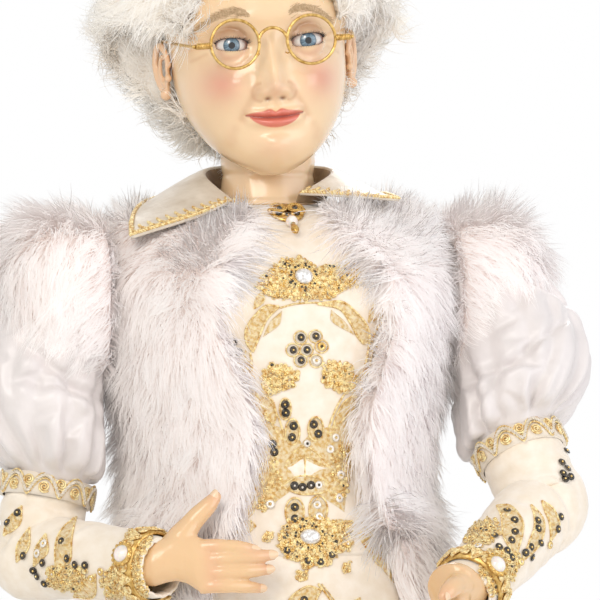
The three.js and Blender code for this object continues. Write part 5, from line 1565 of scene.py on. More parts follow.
def make_lower_sleeve(label, arm):
    rng = np.random.default_rng(41 + arm["side"])
    line = sleeve_line(arm)
    _, a_side, b_side = frames_along(line)
    run = np.linspace(0, 1, len(line))
    past = (line - arm["elbow"]) @ arm["fore"]
    length = np.linalg.norm(arm["wrist"] - arm["elbow"])
    radius = np.interp(past / length, [-0.3, 0, 0.5, 0.93, 1], [20.6, 21.4, 19.3, 15.6, 14.6])
    columns = 120
    a = full_turn(columns)[None]
    s = run[:, None]
    fold = np.zeros((len(line), columns))
    for _ in range(ARM_FOLDS):
        level, middle = rng.uniform(0.04, 0.8), rng.uniform(0, TAU)
        away = turn_between(a, middle)
        across = (s - level) - rng.uniform(-0.3, 0.3) * away * 0.3
        fold += rng.uniform(-0.09, 0.06) * spot(across, 0.019, away, 0.75)
    at_elbow = run[np.argmin(np.abs(past))]
    for _ in range(ELBOW_FOLDS):
        level, middle = at_elbow + rng.uniform(-0.16, 0.13), rng.uniform(0, TAU)
        away = turn_between(a, middle)
        across = (s - level) - rng.uniform(-0.5, 0.5) * away * 0.12
        fold += rng.uniform(-0.1, 0.02) * spot(across, 0.016, away, 0.9)
    radius = radius[:, None] * (1 + fold)
    verts = line[:, None] + a_side[:, None] * (np.cos(a) * radius)[..., None] + b_side[:, None] * (
        np.sin(a) * radius)[..., None]
    uv = np.stack(np.broadcast_arrays(a * 20, s * 140), -1).reshape(-1, 2) * MM
    made = quad_mesh("lower_velvet_" + label, verts, grid_quads(len(line), columns, True), "velvet",
                     None, uv=uv)
    modify(made, "SMOOTH", factor=0.5, iterations=2)
    modify(made, "SOLIDIFY", thickness=1.2 * MM, offset=-1)
    applied(made)
    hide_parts("sleeve_elbow_" + label, "lower_sleeve_" + label)
    return made


def hand_axes(arm):
    u = unit(arm["fingers"])
    w = -arm["palm"]
    w = unit(w - u * (w @ u))
    v = unit(np.cross(w, u) * -arm["side"])
    return u, v, w


KNUCKLES = 25
FINGERS = [
    # length, place across the palm at the root, and at the tip
    (22, 8.9, 6.4), (31, 2.4, 3.6), (28.5, -4.2, -3.2), (24, -10.4, -12),
]


def make_hand(label, arm):
    """A hand of palm rings, fingers and a thumb grown together, and its nails."""
    u, v, w = hand_axes(arm)
    wrist = arm["wrist"]

    def at(a, b, c):
        return wrist + u * a + v * b + w * c

    pile = Pile()
    t = full_turn(24)

    def ring(a, wide, thick, drop, shift=0.0):
        return np.array([at(a, shift + wide / 2 * math.cos(k), drop + thick / 2 * math.sin(k)) for k in t])

    if label == "right":
        heel = [ring(-12, 15, 14, 0), ring(-3.8, 22, 18.5, 0, 2), ring(2, 22.5, 17.5, 0, 3.8),
                ring(7, 24.5, 15.5, 0, 5.4), ring(12, 27, 13.5, -0.2, 5)]
    else:
        heel = [ring(-12, 15, 14, 0), ring(-3.8, 25, 23, -0.3, 0.5), ring(0.6, 27, 24, -1.2, 2),
                ring(3.4, 31, 27, -4.4, 4.6), ring(8, 32, 25, -6, 6), ring(12.5, 30, 18, -4, 4)]
    palm = [ring(-12.4, 0.02, 0.02, 0), *heel, ring(17, 27.5, 13, -0.4, 1.6),
            ring(21, 26.5, 11.5, -0.8, -0.3), ring(25, 25, 9.5, -1, -0.8), ring(27, 18, 5, -1.2, -0.8),
            ring(27.5, 0.02, 0.02, -1.2, -0.8)]
    pile.add(np.array(palm), grid_quads(len(palm), len(t), True))
    tips = []
    for i, (length, low, high) in enumerate(FINGERS):
        curl = 4 + 2.5 * i
        path = even([at(18, low, -0.4), at(24, low, 0.2),
                     at(KNUCKLES + length * 0.36, low * 0.75 + high * 0.25, -curl * 0.1),
                     at(KNUCKLES + length * 0.68, low * 0.4 + high * 0.6, -curl * 0.48),
                     at(KNUCKLES + length * 0.93, high, -curl)], 0.7)
        big = 4.0 if i < 3 else 3.6
        radii = np.interp(np.linspace(0, 1, len(path)), [0, 0.25, 0.36, 0.5, 0.66, 0.8, 0.97],
                          [big, big, big * 1.02, big * 0.93, big * 0.97, big * 0.86, big * 0.7])
        pile.tube(path, radii, 14)
        pile.ball(path[-1], big * 0.7, 12)
        tips.append((path[-1], unit(path[-1] - path[-4]), big * 0.72))
    if label == "right":
        thumb = [at(5, 9, -1), at(10.5, 15, -1.6), at(17.5, 23, -2.6), at(24, 29, -3.4), at(28, 33.4, -4.2)]
    else:
        thumb = [at(5, 9, -1), at(11, 14, -3), at(19, 18.5, -5), at(26, 20.5, -6.4), at(31, 20.5, -7.4)]
    thumb = even(thumb, 0.7)
    s = np.linspace(0, 1, len(thumb))
    pile.tube(thumb, np.interp(s, [0, 0.25, 0.5, 0.66, 0.85, 1], [6.8, 6.6, 5.2, 4.9, 4.3, 3.1]), 14)
    pile.ball(thumb[-1], 3.0, 12)
    tips.append((thumb[-1], unit(thumb[-1] - thumb[-4]), 3.2))
    made = fused("hand_skin_" + label, pile, 0.75, 5, "resin", "hand_" + label)
    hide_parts("hand_" + label)
    co = points_of(made)
    color = np.broadcast_to(HAND_SKIN, co.shape).copy()
    for tip, _, _ in tips:
        near = bell(np.linalg.norm(co - tip, axis=1), 6)
        color = blend_color(color, SKIN_PINK, near * 0.35)
    for _, low, _ in FINGERS:
        place = at(KNUCKLES, low, 3)
        near = bell(np.linalg.norm(co - place, axis=1), 4.5)
        color = blend_color(color, SKIN_PINK, near * 0.22)
    paint_mesh(made, color)

    nails = Pile()
    for tip, way, size in tips:
        out = unit(w - way * (w @ way))
        if tip is tips[-1][0]:
            out = unit(out * 0.8 + np.cross(way, out) * 0.5 * arm["side"])
        across = np.cross(way, out)
        rows = []
        for r in np.linspace(0, 1, 6):
            rim = []
            for k in full_turn(20):
                x, y = math.cos(k) * r * size * 0.82, math.sin(k) * r * size * 1.05
                lift = math.sqrt(max(0.05, (size * 1.12) ** 2 - x * x * 1.1)) - 0.10 * size - 0.25 * r**4
                rim.append(tip + across * x + way * (y - 0.2 * size) + out * lift)
            rows.append(rim)
        nails.add(np.array(rows), grid_quads(len(rows), 20, True))
    nail = nails.make("nails_" + label, "resin", "hand_" + label)
    paint_mesh(nail, NAIL)


def braid_ring(gold, thread, cream, at, along, radius, width, waves):
    """A gimp braid sewn round a sleeve."""
    along = unit(along)
    a = unit(np.cross(along, vec(0, 1, 0.3)))
    b = np.cross(along, a)
    t = np.linspace(0, TAU, 40 * waves // 2)

    def loop(turn, off, out):
        out = np.asarray(out)
        return (at + a * (np.cos(turn) * (radius + out))[:, None]
                + b * (np.sin(turn) * (radius + out))[:, None]
                + along * np.broadcast_to(off, turn.shape)[:, None])

    gold.add(np.array([loop(t, off, out) for off, out in
                       ((-width / 2, -2.2), (-width / 2, -0.5), (width / 2, -0.5), (width / 2, -2.2))]),
             grid_quads(4, len(t)))
    swing = np.sin(t * waves)
    cream.twist(loop(t + 0.05 * np.cos(t * waves), swing * width * 0.4, 0.6 + 0 * t), 0.95, 3.0)
    for off in (-1.5, 1.5):
        thread.twist(loop(t + 0.05 * np.cos(t * waves), swing * width * 0.4 + off, 0.2 + 0 * t), 0.55, 2.4)
    # A coil in the bend of each wave
    for k in range(waves):
        for half in (0, 1):
            turn = (k + 0.25 + 0.5 * half) * TAU / waves
            middle = (-1 if half else 1) * width * -0.12
            s = np.linspace(0, TAU * 2.4, 40)
            size = np.linspace(0.3, width * 0.27, 40)
            coil = loop(turn + size * np.cos(s) / radius, middle + size * np.sin(s), 0.5 + 0 * s)
            thread.tube(coil, 0.5, 5)


CUFF_BEADS = 14


def make_arm_trims(label, arm):
    """The braids at the elbow and the cuff, the cuff's pearl in its beads, and the cuff's lining."""
    gold, thread, cream = Pile(), Pile(), Pile()
    braid_ring(gold, thread, cream, arm["band"], arm["upper"], BRAID_RADIUS - 0.6, BRAID_WIDTH, 9)
    cream.make("braid_cord_" + label, "cream_cord", "upper_arm_" + label)
    made = gold.make("braid_base_" + label, "velvet", "upper_arm_" + label)
    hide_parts("elbow_braid_" + label)
    thread.make("braid_thread_" + label, "gold_thread", "upper_arm_" + label)

    gold, thread, stone = Pile(), Pile(), Pile()
    at = arm["elbow"] + (arm["wrist"] - arm["elbow"]) * 0.9
    braid_ring(gold, thread, thread, at, arm["fore"], 18.4, 9, 10)
    facing = vec(0, -1, 0.15)
    facing = unit(facing - arm["fore"] * (facing @ arm["fore"]))
    seat = at + facing * 19.4
    side = np.cross(facing, arm["fore"])
    gold.turned([(TINY, -1), (5.6, -1), (6.2, 0.2), (5.4, 1.4), (4.4, 1.2)], 24, seat, facing)
    for k in range(CUFF_BEADS):
        turn = k * TAU / CUFF_BEADS
        out = side * math.cos(turn) + arm["fore"] * math.sin(turn)
        gold.ball(seat + out * 5.8 + facing * 0.6, 0.95, 8)
    dome = [(4.6 * math.sin(s), 4.0 * (1 - math.cos(s)) * -1 + 4.4) for s in np.linspace(0, 1.7, 12)[::-1]]
    stone.turned(dome, 24, seat - facing * 0.4, facing)
    turn = np.linspace(0, TAU, 49)
    a = unit(np.cross(arm["fore"], vec(0, 1, 0.3)))
    b = np.cross(arm["fore"], a)
    gathers = 1 + 0.03 * np.cos(18 * turn)
    rows = [arm["wrist"] + arm["fore"] * off + (a * np.cos(turn)[:, None] + b * np.sin(turn)[:, None])
            * (radius * gathers)[:, None]
            for off, radius in ((-9, 14.6), (-2, 14.4), (0.3, 14.3), (0.6, 13.9), (0.2, 13.5), (-2.5, 13.2),
                                (-6, 13.1))]
    lining = quad_mesh("cuff_lining_" + label, np.array(rows), grid_quads(len(rows), len(turn)), "velvet",
                       "forearm_" + label)
    modify(lining, "SOLIDIFY", thickness=0.6 * MM, offset=0)
    applied(lining)
    made = gold.make("cuff_gold_" + label, "gold", "forearm_" + label)
    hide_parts("cuff_braid_" + label)
    thread.make("cuff_thread_" + label, "gold_thread", "forearm_" + label)
    made = stone.make("cuff_pearl_" + label, "pearl", "forearm_" + label)
    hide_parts("cuff_jewel_" + label)


def make_arms():
    sleeves = {}
    for label, arm in ARMS.items():
        make_puff(label, arm)
        sleeve = make_lower_sleeve(label, arm)
        sleeves[label] = sleeve
        make_hand(label, arm)
        make_arm_trims(label, arm)
        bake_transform(sleeve)
    return sleeves


# Hair

# The hair's tones run from a dark one at its roots, which is painted shade under the curls, to bright tips
HAIR_TONES = [tone_of(code) for code in ("#e2d6c6", "#faf6ef", "#fffefb")]
HAIR_STEPS, HAIR_CLUMPS = 8, 0.012


def hair_on(name, skin, spacing, seed, way_of, length, keep, curl=3.0, width=0.42):
    """Curled hairs on a skin, which run the way that way_of gives and curl together in locks."""
    rng = np.random.default_rng(seed)
    places, normals = samples_on(skin, spacing, rng, keep)
    count = len(places)
    heads, mine = clump_to(places, HAIR_CLUMPS, rng)
    way = way_of(places, normals)
    way = unit(way - normals * (way * normals).sum(-1, keepdims=True))
    way = unit(way + drift(places, seed + 50, 0.07) * 0.5)
    side = np.cross(normals, way)
    t = np.linspace(0, 1, HAIR_STEPS)
    long = length * (0.6 + 0.6 * rng.random(count)) * (0.8 + 0.4 * rng.random(len(heads)))[mine]
    lean = rng.normal(size=len(heads))[mine] * 0.3
    turn = rng.uniform(0, TAU, len(heads))[mine] + rng.normal(size=count) * 0.3
    pitch = rng.uniform(0.5, 1.1, len(heads))[mine]
    hand = rng.choice([-1.0, 1.0], len(heads))[mine]
    radius = curl * rng.uniform(0.5, 1.2, len(heads))[mine]
    forward = unit(way + side * lean[:, None])
    base = places[:, None] + forward[:, None] * (long[:, None] * t)[..., None]
    rise = np.sin(t * math.pi * 0.95)[None] * long[:, None] * 0.2
    phase = turn[:, None] + hand[:, None] * pitch[:, None] * TAU * t[None]
    grow = radius[:, None] * np.clip(t * 2, 0, 1)[None]
    away = np.cross(forward, normals)
    lines = (base + normals[:, None] * (rise + grow * (1 + np.cos(phase)) * 0.55)[..., None]
             + away[:, None] * (grow * np.sin(phase))[..., None])
    lines += rng.normal(size=(count, 1, 3)) * (0.9 * t**1.5)[None, :, None]
    shape = np.clip(1.05 - t**2.4, 0.06, 1)
    widths = width * (0.7 + 0.6 * rng.random(count))[:, None] * shape[None]
    tone = np.clip(rng.normal(0.64, 0.22, count) + (rng.random(len(heads))[mine] - 0.5) * 0.35, 0, 1)
    # The roots are painted darker than the tips: painted shade under the curls, as the hairs cast no shadows
    light = np.clip((0.3 + 0.9 * t)[None] * (0.55 + 0.5 * tone[:, None]), 0, 1)
    paint = three_tones(light, *HAIR_TONES)
    made = strands(name, "hair", "head", lines, widths, normals, paint, rng)
    made.visible_shadow = False
    return made


def make_hair():
    skin = skin_of("wig", 2.5, 5.5, 8)
    skin.name = "hair_cap"
    local = head_local(points_of(skin))
    # One side is dressed closer to the head
    close = np.clip((local[:, 0] - 30) / 18, 0, 1) * np.clip((112 - local[:, 2]) / 40, 0, 1)
    local[:, 0] -= 7 * close
    low = np.clip((52 - local[:, 2]) / 20, 0, 1)
    local[:, 2] += 5 * low * (1 + close)
    move_points(skin, placed(local))
    centre = vec(0, 12, 86)

    def keep(p, n):
        near = head_local(p)
        out = unit(near - centre)
        ahead = n @ HEAD_TURN
        beside = (np.abs(near[:, 0]) > 42) & (near[:, 2] < 90)
        return ((ahead * out).sum(-1) > -0.55) | ((ahead[:, 1] < -0.1) & (near[:, 1] > -34) & beside)

    def way_of(p, n):
        near = head_local(p)
        up = vec(0, 0.35, 1)
        low = np.clip((70 - near[:, 2]) / 40, 0, 1)[:, None]
        sides = np.stack([np.sign(near[:, 0]) * 0.3, 0.5 + 0 * low[:, 0], 0.6 + 0 * low[:, 0]], -1)
        out = unit(near - centre)
        rim = np.clip(0.5 - ((n @ HEAD_TURN) * out).sum(-1), 0, 1)[:, None]
        way = up * (1 - low) + sides * low + out * rim * 1.6
        return way @ HEAD_TURN.T

    def lock_keep(p, n):
        near = head_local(p)
        ahead = n @ HEAD_TURN
        return ((np.abs(near[:, 0]) > 34) & (near[:, 2] > 72) & (near[:, 2] < 112) & (near[:, 1] < 8)
                & (near[:, 1] > -30) & (ahead[:, 1] < 0.5))

    def lock_way(p, n):
        near = head_local(p)
        way = np.stack([np.sign(near[:, 0]) * 0.3, 0.45 + 0 * near[:, 0], -1 + 0 * near[:, 0]], -1)
        return way @ HEAD_TURN.T

    for label, side in (("right", -1), ("left", 1)):
        hair_on("hair_locks_" + label, skin, 1.3, 61 + side, way_of, 17,
                lambda p, n: keep(p, n) & (head_local(p)[:, 0] * side >= 0))
    hair_on("temple_locks", skin, 1.1, 67, lock_way, 21, lock_keep, curl=2.0, width=0.34)
    hair_on("hair_fluff", skin, 2.0, 68, lambda p, n: drift(p, 9, 0.12), 13, keep, curl=4.6, width=0.34)
    dressed(skin, "hair_skin", "head", "wig")


# Gold lace, sequins and stones, drawn in points of the photograph's frame and laid on the cloth


def sides_between(first, second, rows, columns):
    """A grid between two lines of points that share their ends."""
    a, b = even(first, 0.6), even(second, 0.6)
    s = np.linspace(0, 1, rows)

    def at(line):
        run = np.linspace(0, 1, len(line))
        return np.stack([np.interp(s, run, line[:, k]) for k in range(line.shape[1])], -1)

    t = np.linspace(0, 1, columns)[None, :, None]
    return at(a)[:, None] * (1 - t) + at(b)[:, None] * t


def inside(points, polygon):
    x, y = points[:, 0], points[:, 1]
    odd = np.zeros(len(points), bool)
    for (ax, ay), (bx, by) in zip(polygon, polygon[1:] + polygon[:1]):
        crosses = (ay > y) != (by > y)
        level = (bx - ax) * (y - ay) / ((by - ay) or 1e-9) + ax
        odd ^= crosses & (x < level)
    return odd


CORD_STEP, CORD_LIFT, CORD_PITCH = 1.6, 0.45, 2.0
WIRE_STEP, WIRE_SIDES, CURL_RADIUS = 1.4, 4, 0.36
FRINGE_RADIUS, FRINGE_LIFT, FRINGE_BOW = 0.24, 0.4, 2.0


class Lace:
    """Trims laid on the cloth of a tree, and gathered into one piece for each material."""

    def __init__(self, name, tree, body, seed):
        self.name, self.tree, self.body = name, tree, body
        self.rng = np.random.default_rng(seed)
        kinds = ("gold_thread", "gold_net", "gold_sequin", "dark_sequin", "pale_sequin", "crystal",
                 "velvet_light")
        self.piles = {kind: Pile() for kind in kinds}

    def on(self, points, lift):
        """Where a line of picture points lies on the cloth, lifted off it."""
        places = []
        for x, y in np.asarray(points, float).reshape(-1, 2):
            place, normal = seen_at(x, y, self.tree)
            if place is not None:
                places.append(place + normal * lift)
        return np.array(places).reshape(-1, 3)

    def cord(self, points, radius):
        line = self.on(even(points, CORD_STEP), CORD_LIFT)
        if len(line) > 2:
            self.piles["gold_thread"].twist(line, radius, CORD_PITCH)

    def wire(self, points, radius, lift=0.4):
        line = self.on(even(points, WIRE_STEP), lift)
        if len(line) > 2:
            self.piles["gold_thread"].tube(line, radius, WIRE_SIDES)

    def net(self, first, second, kind="gold_net", lift=0.3, rows=14, columns=7):
        grid = sides_between(first, second, rows, columns)
        places = [seen_at(x, y, self.tree) for x, y in grid.reshape(-1, 2)]
        if any(p is None for p, _ in places):
            return
        dome = np.sin(np.linspace(0, math.pi, columns)) * 0.5
        out = np.tile(dome, rows)
        verts = np.array([p + n * (lift + o) for (p, n), o in zip(places, out)])
        self.piles[kind].add(verts, grid_quads(rows, columns)[:, ::-1])

    def leaf(self, first, second, radius=0.6, veins=5, fill="gold_net"):
        """A leaf between two edges: a net in it, a cord round it and stitches across it."""
        if fill:
            self.net(first, second, fill)
        self.cord(first, radius)
        self.cord(second, radius)
        grid = sides_between(first, second, veins + 2, 5)
        for row in grid[1:-1]:
            self.wire(row, 0.26, 0.75)

    def sequin(self, x, y, kind, radius, bead="gold_sequin"):
        place, normal = seen_at(x, y, self.tree)
        if place is None:
            return
        normal = unit(normal + self.rng.normal(size=3) * 0.12)
        profile = [(0.62, 0.3), (0.7, 0.55), (radius * 0.7, 0.62), (radius, 0.35), (radius, 0.1),
                   (0.62, 0.1), (0.62, 0.3)]
        self.piles[kind].turned([(r, h + 0.75) for r, h in profile][::-1], 18, place, normal)
        self.piles[bead].ball(place + normal * 1.3, 0.62, 7)

    def sequins(self, places, kind="dark_sequin", radius=1.9, bead="gold_sequin"):
        for x, y in places:
            self.sequin(x, y, kind, radius, bead)

    def mass(self, polygon, spacing, size, beads, dark):
        """Curled threads and beads that fill an area."""
        corners = np.array(polygon, float)
        low, high = corners.min(0), corners.max(0)
        nx, ny = ((high - low) / spacing).astype(int) + 1
        grid = np.stack(np.meshgrid(np.arange(nx), np.arange(ny)), -1).reshape(-1, 2) * spacing + low
        grid = grid + self.rng.uniform(-0.45, 0.45, grid.shape) * spacing
        for x, y in grid[inside(grid, [tuple(c) for c in corners])]:
            turns = self.rng.uniform(1.0, 1.9)
            t = np.linspace(0, TAU * turns, int(13 * turns))
            r = np.linspace(0.25, self.rng.uniform(0.8, 1.3), len(t)) * size * 2
            spin = self.rng.uniform(0, TAU)
            squeeze = self.rng.uniform(0.55, 1.0)
            u, v = np.cos(t) * r, np.sin(t) * r * squeeze
            loop = np.stack([x + u * math.cos(spin) - v * math.sin(spin),
                             y + u * math.sin(spin) + v * math.cos(spin)], -1)
            lift = self.rng.uniform(0.3, 1.0)
            line = self.on(loop, lift)
            if len(line) > 3:
                self.piles["gold_thread"].tube(line, CURL_RADIUS * self.rng.uniform(0.8, 1.3), WIRE_SIDES)
            if self.rng.random() < beads:
                place, normal = seen_at(x, y, self.tree)
                if place is not None:
                    kind = "dark_sequin" if self.rng.random() < dark * 0.3 else "gold_sequin"
                    self.piles[kind].ball(place + normal * 0.9, self.rng.uniform(0.5, 0.95), 7)

    def fringe(self, roots, tips, count):
        """Loose gold threads from one line of points to another."""
        a, b = even(roots, 0.8), even(tips, 0.8)
        for k in range(count):
            s = (k + self.rng.random()) / count
            start = np.array([np.interp(s, np.linspace(0, 1, len(a)), a[:, i]) for i in (0, 1)])
            end = np.array([np.interp(s, np.linspace(0, 1, len(b)), b[:, i]) for i in (0, 1)])
            end = end + self.rng.normal(size=2)
            along = end - start
            across = np.array([-along[1], along[0]]) / (np.linalg.norm(along) + 1e-9)
            t = np.linspace(0, 1, 9)[:, None]
            line = start + along * t + across * np.sin(t * math.pi) * self.rng.normal() * FRINGE_BOW
            places = self.on(line, FRINGE_LIFT)
            if len(places) > 3:
                radius = FRINGE_RADIUS * self.rng.uniform(0.8, 1.4)
                self.piles["gold_thread"].tube(places, radius, WIRE_SIDES)

    def stone(self, x, y, wide, high):
        """A stone in a setting of small beads, sized in millimetres."""
        place, normal = seen_at(x, y, self.tree)
        if place is None:
            return
        a = unit(RIGHT - normal * (RIGHT @ normal))
        b = np.cross(normal, a)
        b = b if b[2] > 0 else -b
        facets = 16
        turn = np.arange(facets) * TAU / facets
        rows = []
        for share, out in ((0.02, 0.62), (0.45, 0.62), (0.78, 0.45), (1.0, 0.18), (1.0, 0.0), (0.6, -0.15)):
            skew = turn + (TAU / facets / 2 if share == 0.78 else 0)
            rows.append(place + normal * (0.9 + out * min(wide, high))
                        + a * (np.cos(skew) * wide * share)[:, None]
                        + b * (np.sin(skew) * high * share)[:, None])
        quads = grid_quads(len(rows), facets, True)
        self.piles["crystal"].add(np.array(rows), quads if np.cross(a, b) @ normal < 0 else quads[:, ::-1])
        rings = [
            # share of the stone, lift, bead, every third bead, size, count
            (1.14, 0.9, "gold_sequin", "gold_sequin", 0.15, 18),
            (1.42, 0.75, "dark_sequin", "gold_sequin", 0.17, 22),
        ]
        for share, lift, bead, third, size, count in rings:
            for k in range(count):
                t = k * TAU / count
                at = (place + normal * lift + a * (math.cos(t) * wide * share)
                      + b * (math.sin(t) * high * share))
                self.piles[bead if k % 3 else third].ball(at, min(wide, high) * size, 8)
        t = np.linspace(0, TAU, 49)
        rim = (place + normal * 0.5 + a * (np.cos(t) * wide * 1.28)[:, None]
               + b * (np.sin(t) * high * 1.28)[:, None])
        self.piles["gold_thread"].twist(rim, 0.6, CORD_PITCH)

    def make(self):
        made = {}
        for kind, pile in self.piles.items():
            if pile.count:
                made[kind] = pile.make(self.name + "_" + kind, kind, self.body)
        return made


GOWN_MIDDLE, STEM_TOP, STEM_END, STEM_SWING = 318, 584, 1090, 19
BEND_HEIGHT, BENDS = 72, 7


def make_bodice_lace(pieces):
    tree = tree_of(pieces["bodice_velvet"], pieces["gown_velvet"])
    lace = Lace("bust_lace", tree, "figure", 71)

    # The cluster at the top, with its stone, and the arcs that run out of it
    lace.mass([(254, 288), (265, 274), (283, 260), (300, 258), (318, 268), (341, 262), (352, 266),
               (364, 272), (366, 284), (345, 288), (330, 299), (292, 300), (273, 298)],
              3.0, 1.35, 0.45, 0.3)
    lace.stone(303.5, 277, 4.6, 4.2)
    lace.sequins([(286.8, 266.2), (381.4, 293.5), (382, 360.8), (234, 342), (239.5, 352.3)])
    lace.cord([(340, 262), (360, 265), (380, 275), (394, 290), (401, 305), (400, 330), (392, 340)], 0.7)
    lace.cord([(330, 282), (348, 286), (362, 280), (374, 286), (380, 300)], 0.6)
    lace.leaf([(368, 322), (371, 308), (382, 300), (399, 301)],
              [(368, 322), (382, 317), (392, 311), (399, 301)])
    lace.leaf([(262, 292), (256, 299), (254, 309)], [(262, 292), (264, 301), (254, 309)], 0.5, 3)

    # Two long leaves that curve round the flower of sequins
    lace.leaf([(279, 307), (266, 306), (253, 318), (246, 330), (246.5, 342), (253, 352)],
              [(279, 307), (267, 319), (260, 335), (253, 352)], 0.7, 9)
    lace.net([(282, 311), (270, 322), (263, 337)], [(282, 311), (279, 325), (263, 337)])
    lace.wire([(280, 308), (296, 304), (318, 303), (330, 306)], 0.5)
    lace.leaf([(317, 304), (341, 302), (356, 313), (367, 327), (369, 341), (363, 344)],
              [(317, 304), (339, 309), (350, 323), (356, 335), (363, 344)], 0.7, 10)
    lace.net([(331, 310), (344, 321), (354, 335)], [(331, 310), (332, 322), (354, 335)])
    petals = [(300.5, 337.5), (315.5, 336.5), (292.5, 350), (306.5, 350), (300.5, 360.5)]
    lace.sequins(petals)
    lace.sequins([(321.5, 346.5)], "gold_sequin", 2.1, "dark_sequin")
    lace.sequins([(316, 361)], "pale_sequin", 2.1)
    t = np.linspace(0, TAU, 20)
    for x, y in (*petals, (321.5, 346.5), (316, 361)):
        lace.wire(np.stack([x + np.cos(t) * 6.4, y + np.sin(t) * 6.4], -1), 0.42)

    # The side fields
    lace.sequins([(388.5, 320), (380.5, 334.5), (375, 346)], "pale_sequin", 2.3)
    lace.cord([(371, 342), (376, 330), (388, 316), (396, 312), (399, 322), (390, 336), (378, 352)], 0.5)
    lace.cord([(369, 343), (366, 360), (361, 380), (362, 398)], 0.7)
    lace.cord([(373, 346), (370, 362), (365, 384), (364, 400)], 0.5)
    lace.mass([(360, 372), (378, 356), (392, 346), (402, 352), (402, 382), (392, 398), (374, 410),
               (360, 410)], 3.3, 1.4, 0.3, 0.4)
    lace.sequins([(370 + k * 7, 404 - k * 9) for k in range(5)], "gold_sequin", 2.0, "pale_sequin")
    lace.cord([(250, 352), (252, 366), (250, 382), (256, 398), (266, 410)], 0.7)
    lace.cord([(246, 350), (244, 364), (246, 384), (254, 404)], 0.5)
    lace.mass([(228, 356), (246, 352), (250, 372), (258, 398), (268, 416), (262, 430), (244, 412),
               (228, 392)], 3.4, 1.4, 0.25, 0.4)
    lace.fringe([(232, 366), (240, 392), (252, 420), (262, 440)],
                [(222, 374), (228, 402), (240, 434), (256, 452)], 60)
    made = lace.make()
    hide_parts("bodice_brooch")
    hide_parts("bodice_crystal")

    # The middle: two leaf clusters, then a column of drops with sequins
    lace = Lace("waist_lace", tree, "figure", 72)
    lace.mass([(261, 376), (270, 363), (282, 364), (290, 368), (298, 372), (296, 384), (280, 392),
               (266, 398), (262, 390)], 3.0, 1.4, 0.35, 0.15)
    lace.mass([(320, 372), (328, 362), (338, 362), (350, 366), (357, 378), (352, 392), (338, 391),
               (324, 386)], 3.0, 1.4, 0.35, 0.15)
    lace.leaf([(256, 399), (262, 396), (272, 400), (276, 414), (274, 424)],
              [(256, 399), (258, 412), (274, 424)])
    lace.leaf([(356, 394), (344, 402), (336, 416), (332, 430)],
              [(356, 394), (352, 410), (332, 430)], veins=6)
    lace.cord([(268, 398), (276, 412), (282, 428), (284, 440)], 0.6)
    lace.cord([(262, 402), (270, 420), (278, 434), (284, 442)], 0.5)
    lace.cord([(348, 388), (338, 404), (331, 420), (327, 434)], 0.6)
    lace.cord([(354, 396), (346, 414), (338, 426), (329, 436)], 0.5)
    lace.net([(262, 420), (264, 450), (258, 480), (262, 512)],
             [(262, 420), (300, 440), (300, 480), (262, 512)], lift=0.15, rows=24, columns=12)
    lace.net([(346, 420), (350, 450), (348, 480), (344, 512)],
             [(346, 420), (304, 440), (304, 480), (344, 512)], lift=0.15, rows=24, columns=12)
    drops = [
        # middle, half width, half height, sequins and their kind
        ((285.3, 409), 5.6, 10.5, [(285, 404.6), (285.5, 412.8)], "dark_sequin"),
        ((292.4, 432), 7, 13, [(293.2, 426), (291.3, 437)], "dark_sequin"),
        ((315.5, 429), 7.5, 12, [(313.3, 424.2), (317.7, 433.8)], "dark_sequin"),
        ((272.5, 448), 6.2, 10, [(272.5, 444), (274.3, 452)], "dark_sequin"),
        ((333, 443), 7, 11, [(335, 437.6), (329.8, 449)], "pale_sequin"),
        ((294.6, 512), 9.2, 14, [(294.5, 507.6), (294.5, 519)], "dark_sequin"),
        ((318, 510), 9, 14, [(317, 505), (318.6, 516.7)], "pale_sequin"),
    ]
    for (x, y), wide, high, spots, kind in drops:
        t = np.linspace(0, TAU, 33)
        lace.cord(np.stack([x + np.sin(t) * wide, y - np.cos(t) * high], -1), 0.6)
        lace.net(*([(x, y - high), (x + way * wide, y), (x, y + high)] for way in (-1, 1)))
        lace.sequins(spots, kind, 2.1)
    lace.sequins([(306.5, 443.4)], "pale_sequin", 1.9, "dark_sequin")
    lace.sequins([(350.6, 444.6), (344.9, 453.6)], "gold_sequin", 1.9, "pale_sequin")
    lace.sequins([(339.8, 474.6), (338.3, 498.2), (270.3, 504.6)], "pale_sequin", 2.3)
    lace.leaf([(285, 463), (304, 446), (330, 466)], [(285, 466), (304.5, 457), (330, 468)], 0.6, 8)
    lace.wire([(305, 457), (304.6, 470), (305, 480)], 0.7)
    lace.net([(287, 468), (304.5, 459), (326, 468)], [(287, 468), (300, 480), (326, 468)], "velvet_light")
    lace.leaf([(281, 486), (300, 476), (324, 480), (330, 487)],
              [(281, 486), (300, 494), (322, 493), (330, 487)], veins=0)
    lace.sequins([(293.9, 485.7), (302.2, 486.7), (310.5, 484.8)], "dark_sequin", 2.2, "pale_sequin")
    lace.sequins([(318, 484.8)], "pale_sequin", 2.0, "dark_sequin")
    lace.leaf([(322, 474), (334, 478), (344, 490), (338, 504)], [(322, 474), (328, 490), (338, 504)])
    lace.mass([(256, 446), (266, 456), (278, 462), (282, 480), (276, 500), (264, 512), (254, 504),
               (258, 476)], 3.8, 1.3, 0.15, 0.2)
    lace.mass([(328, 452), (346, 440), (354, 452), (350, 480), (346, 496), (330, 500), (332, 470)],
              3.8, 1.3, 0.15, 0.2)
    lace.fringe([(252, 436), (250, 470), (256, 506)], [(238, 438), (240, 476), (250, 520)], 46)
    lace.make()

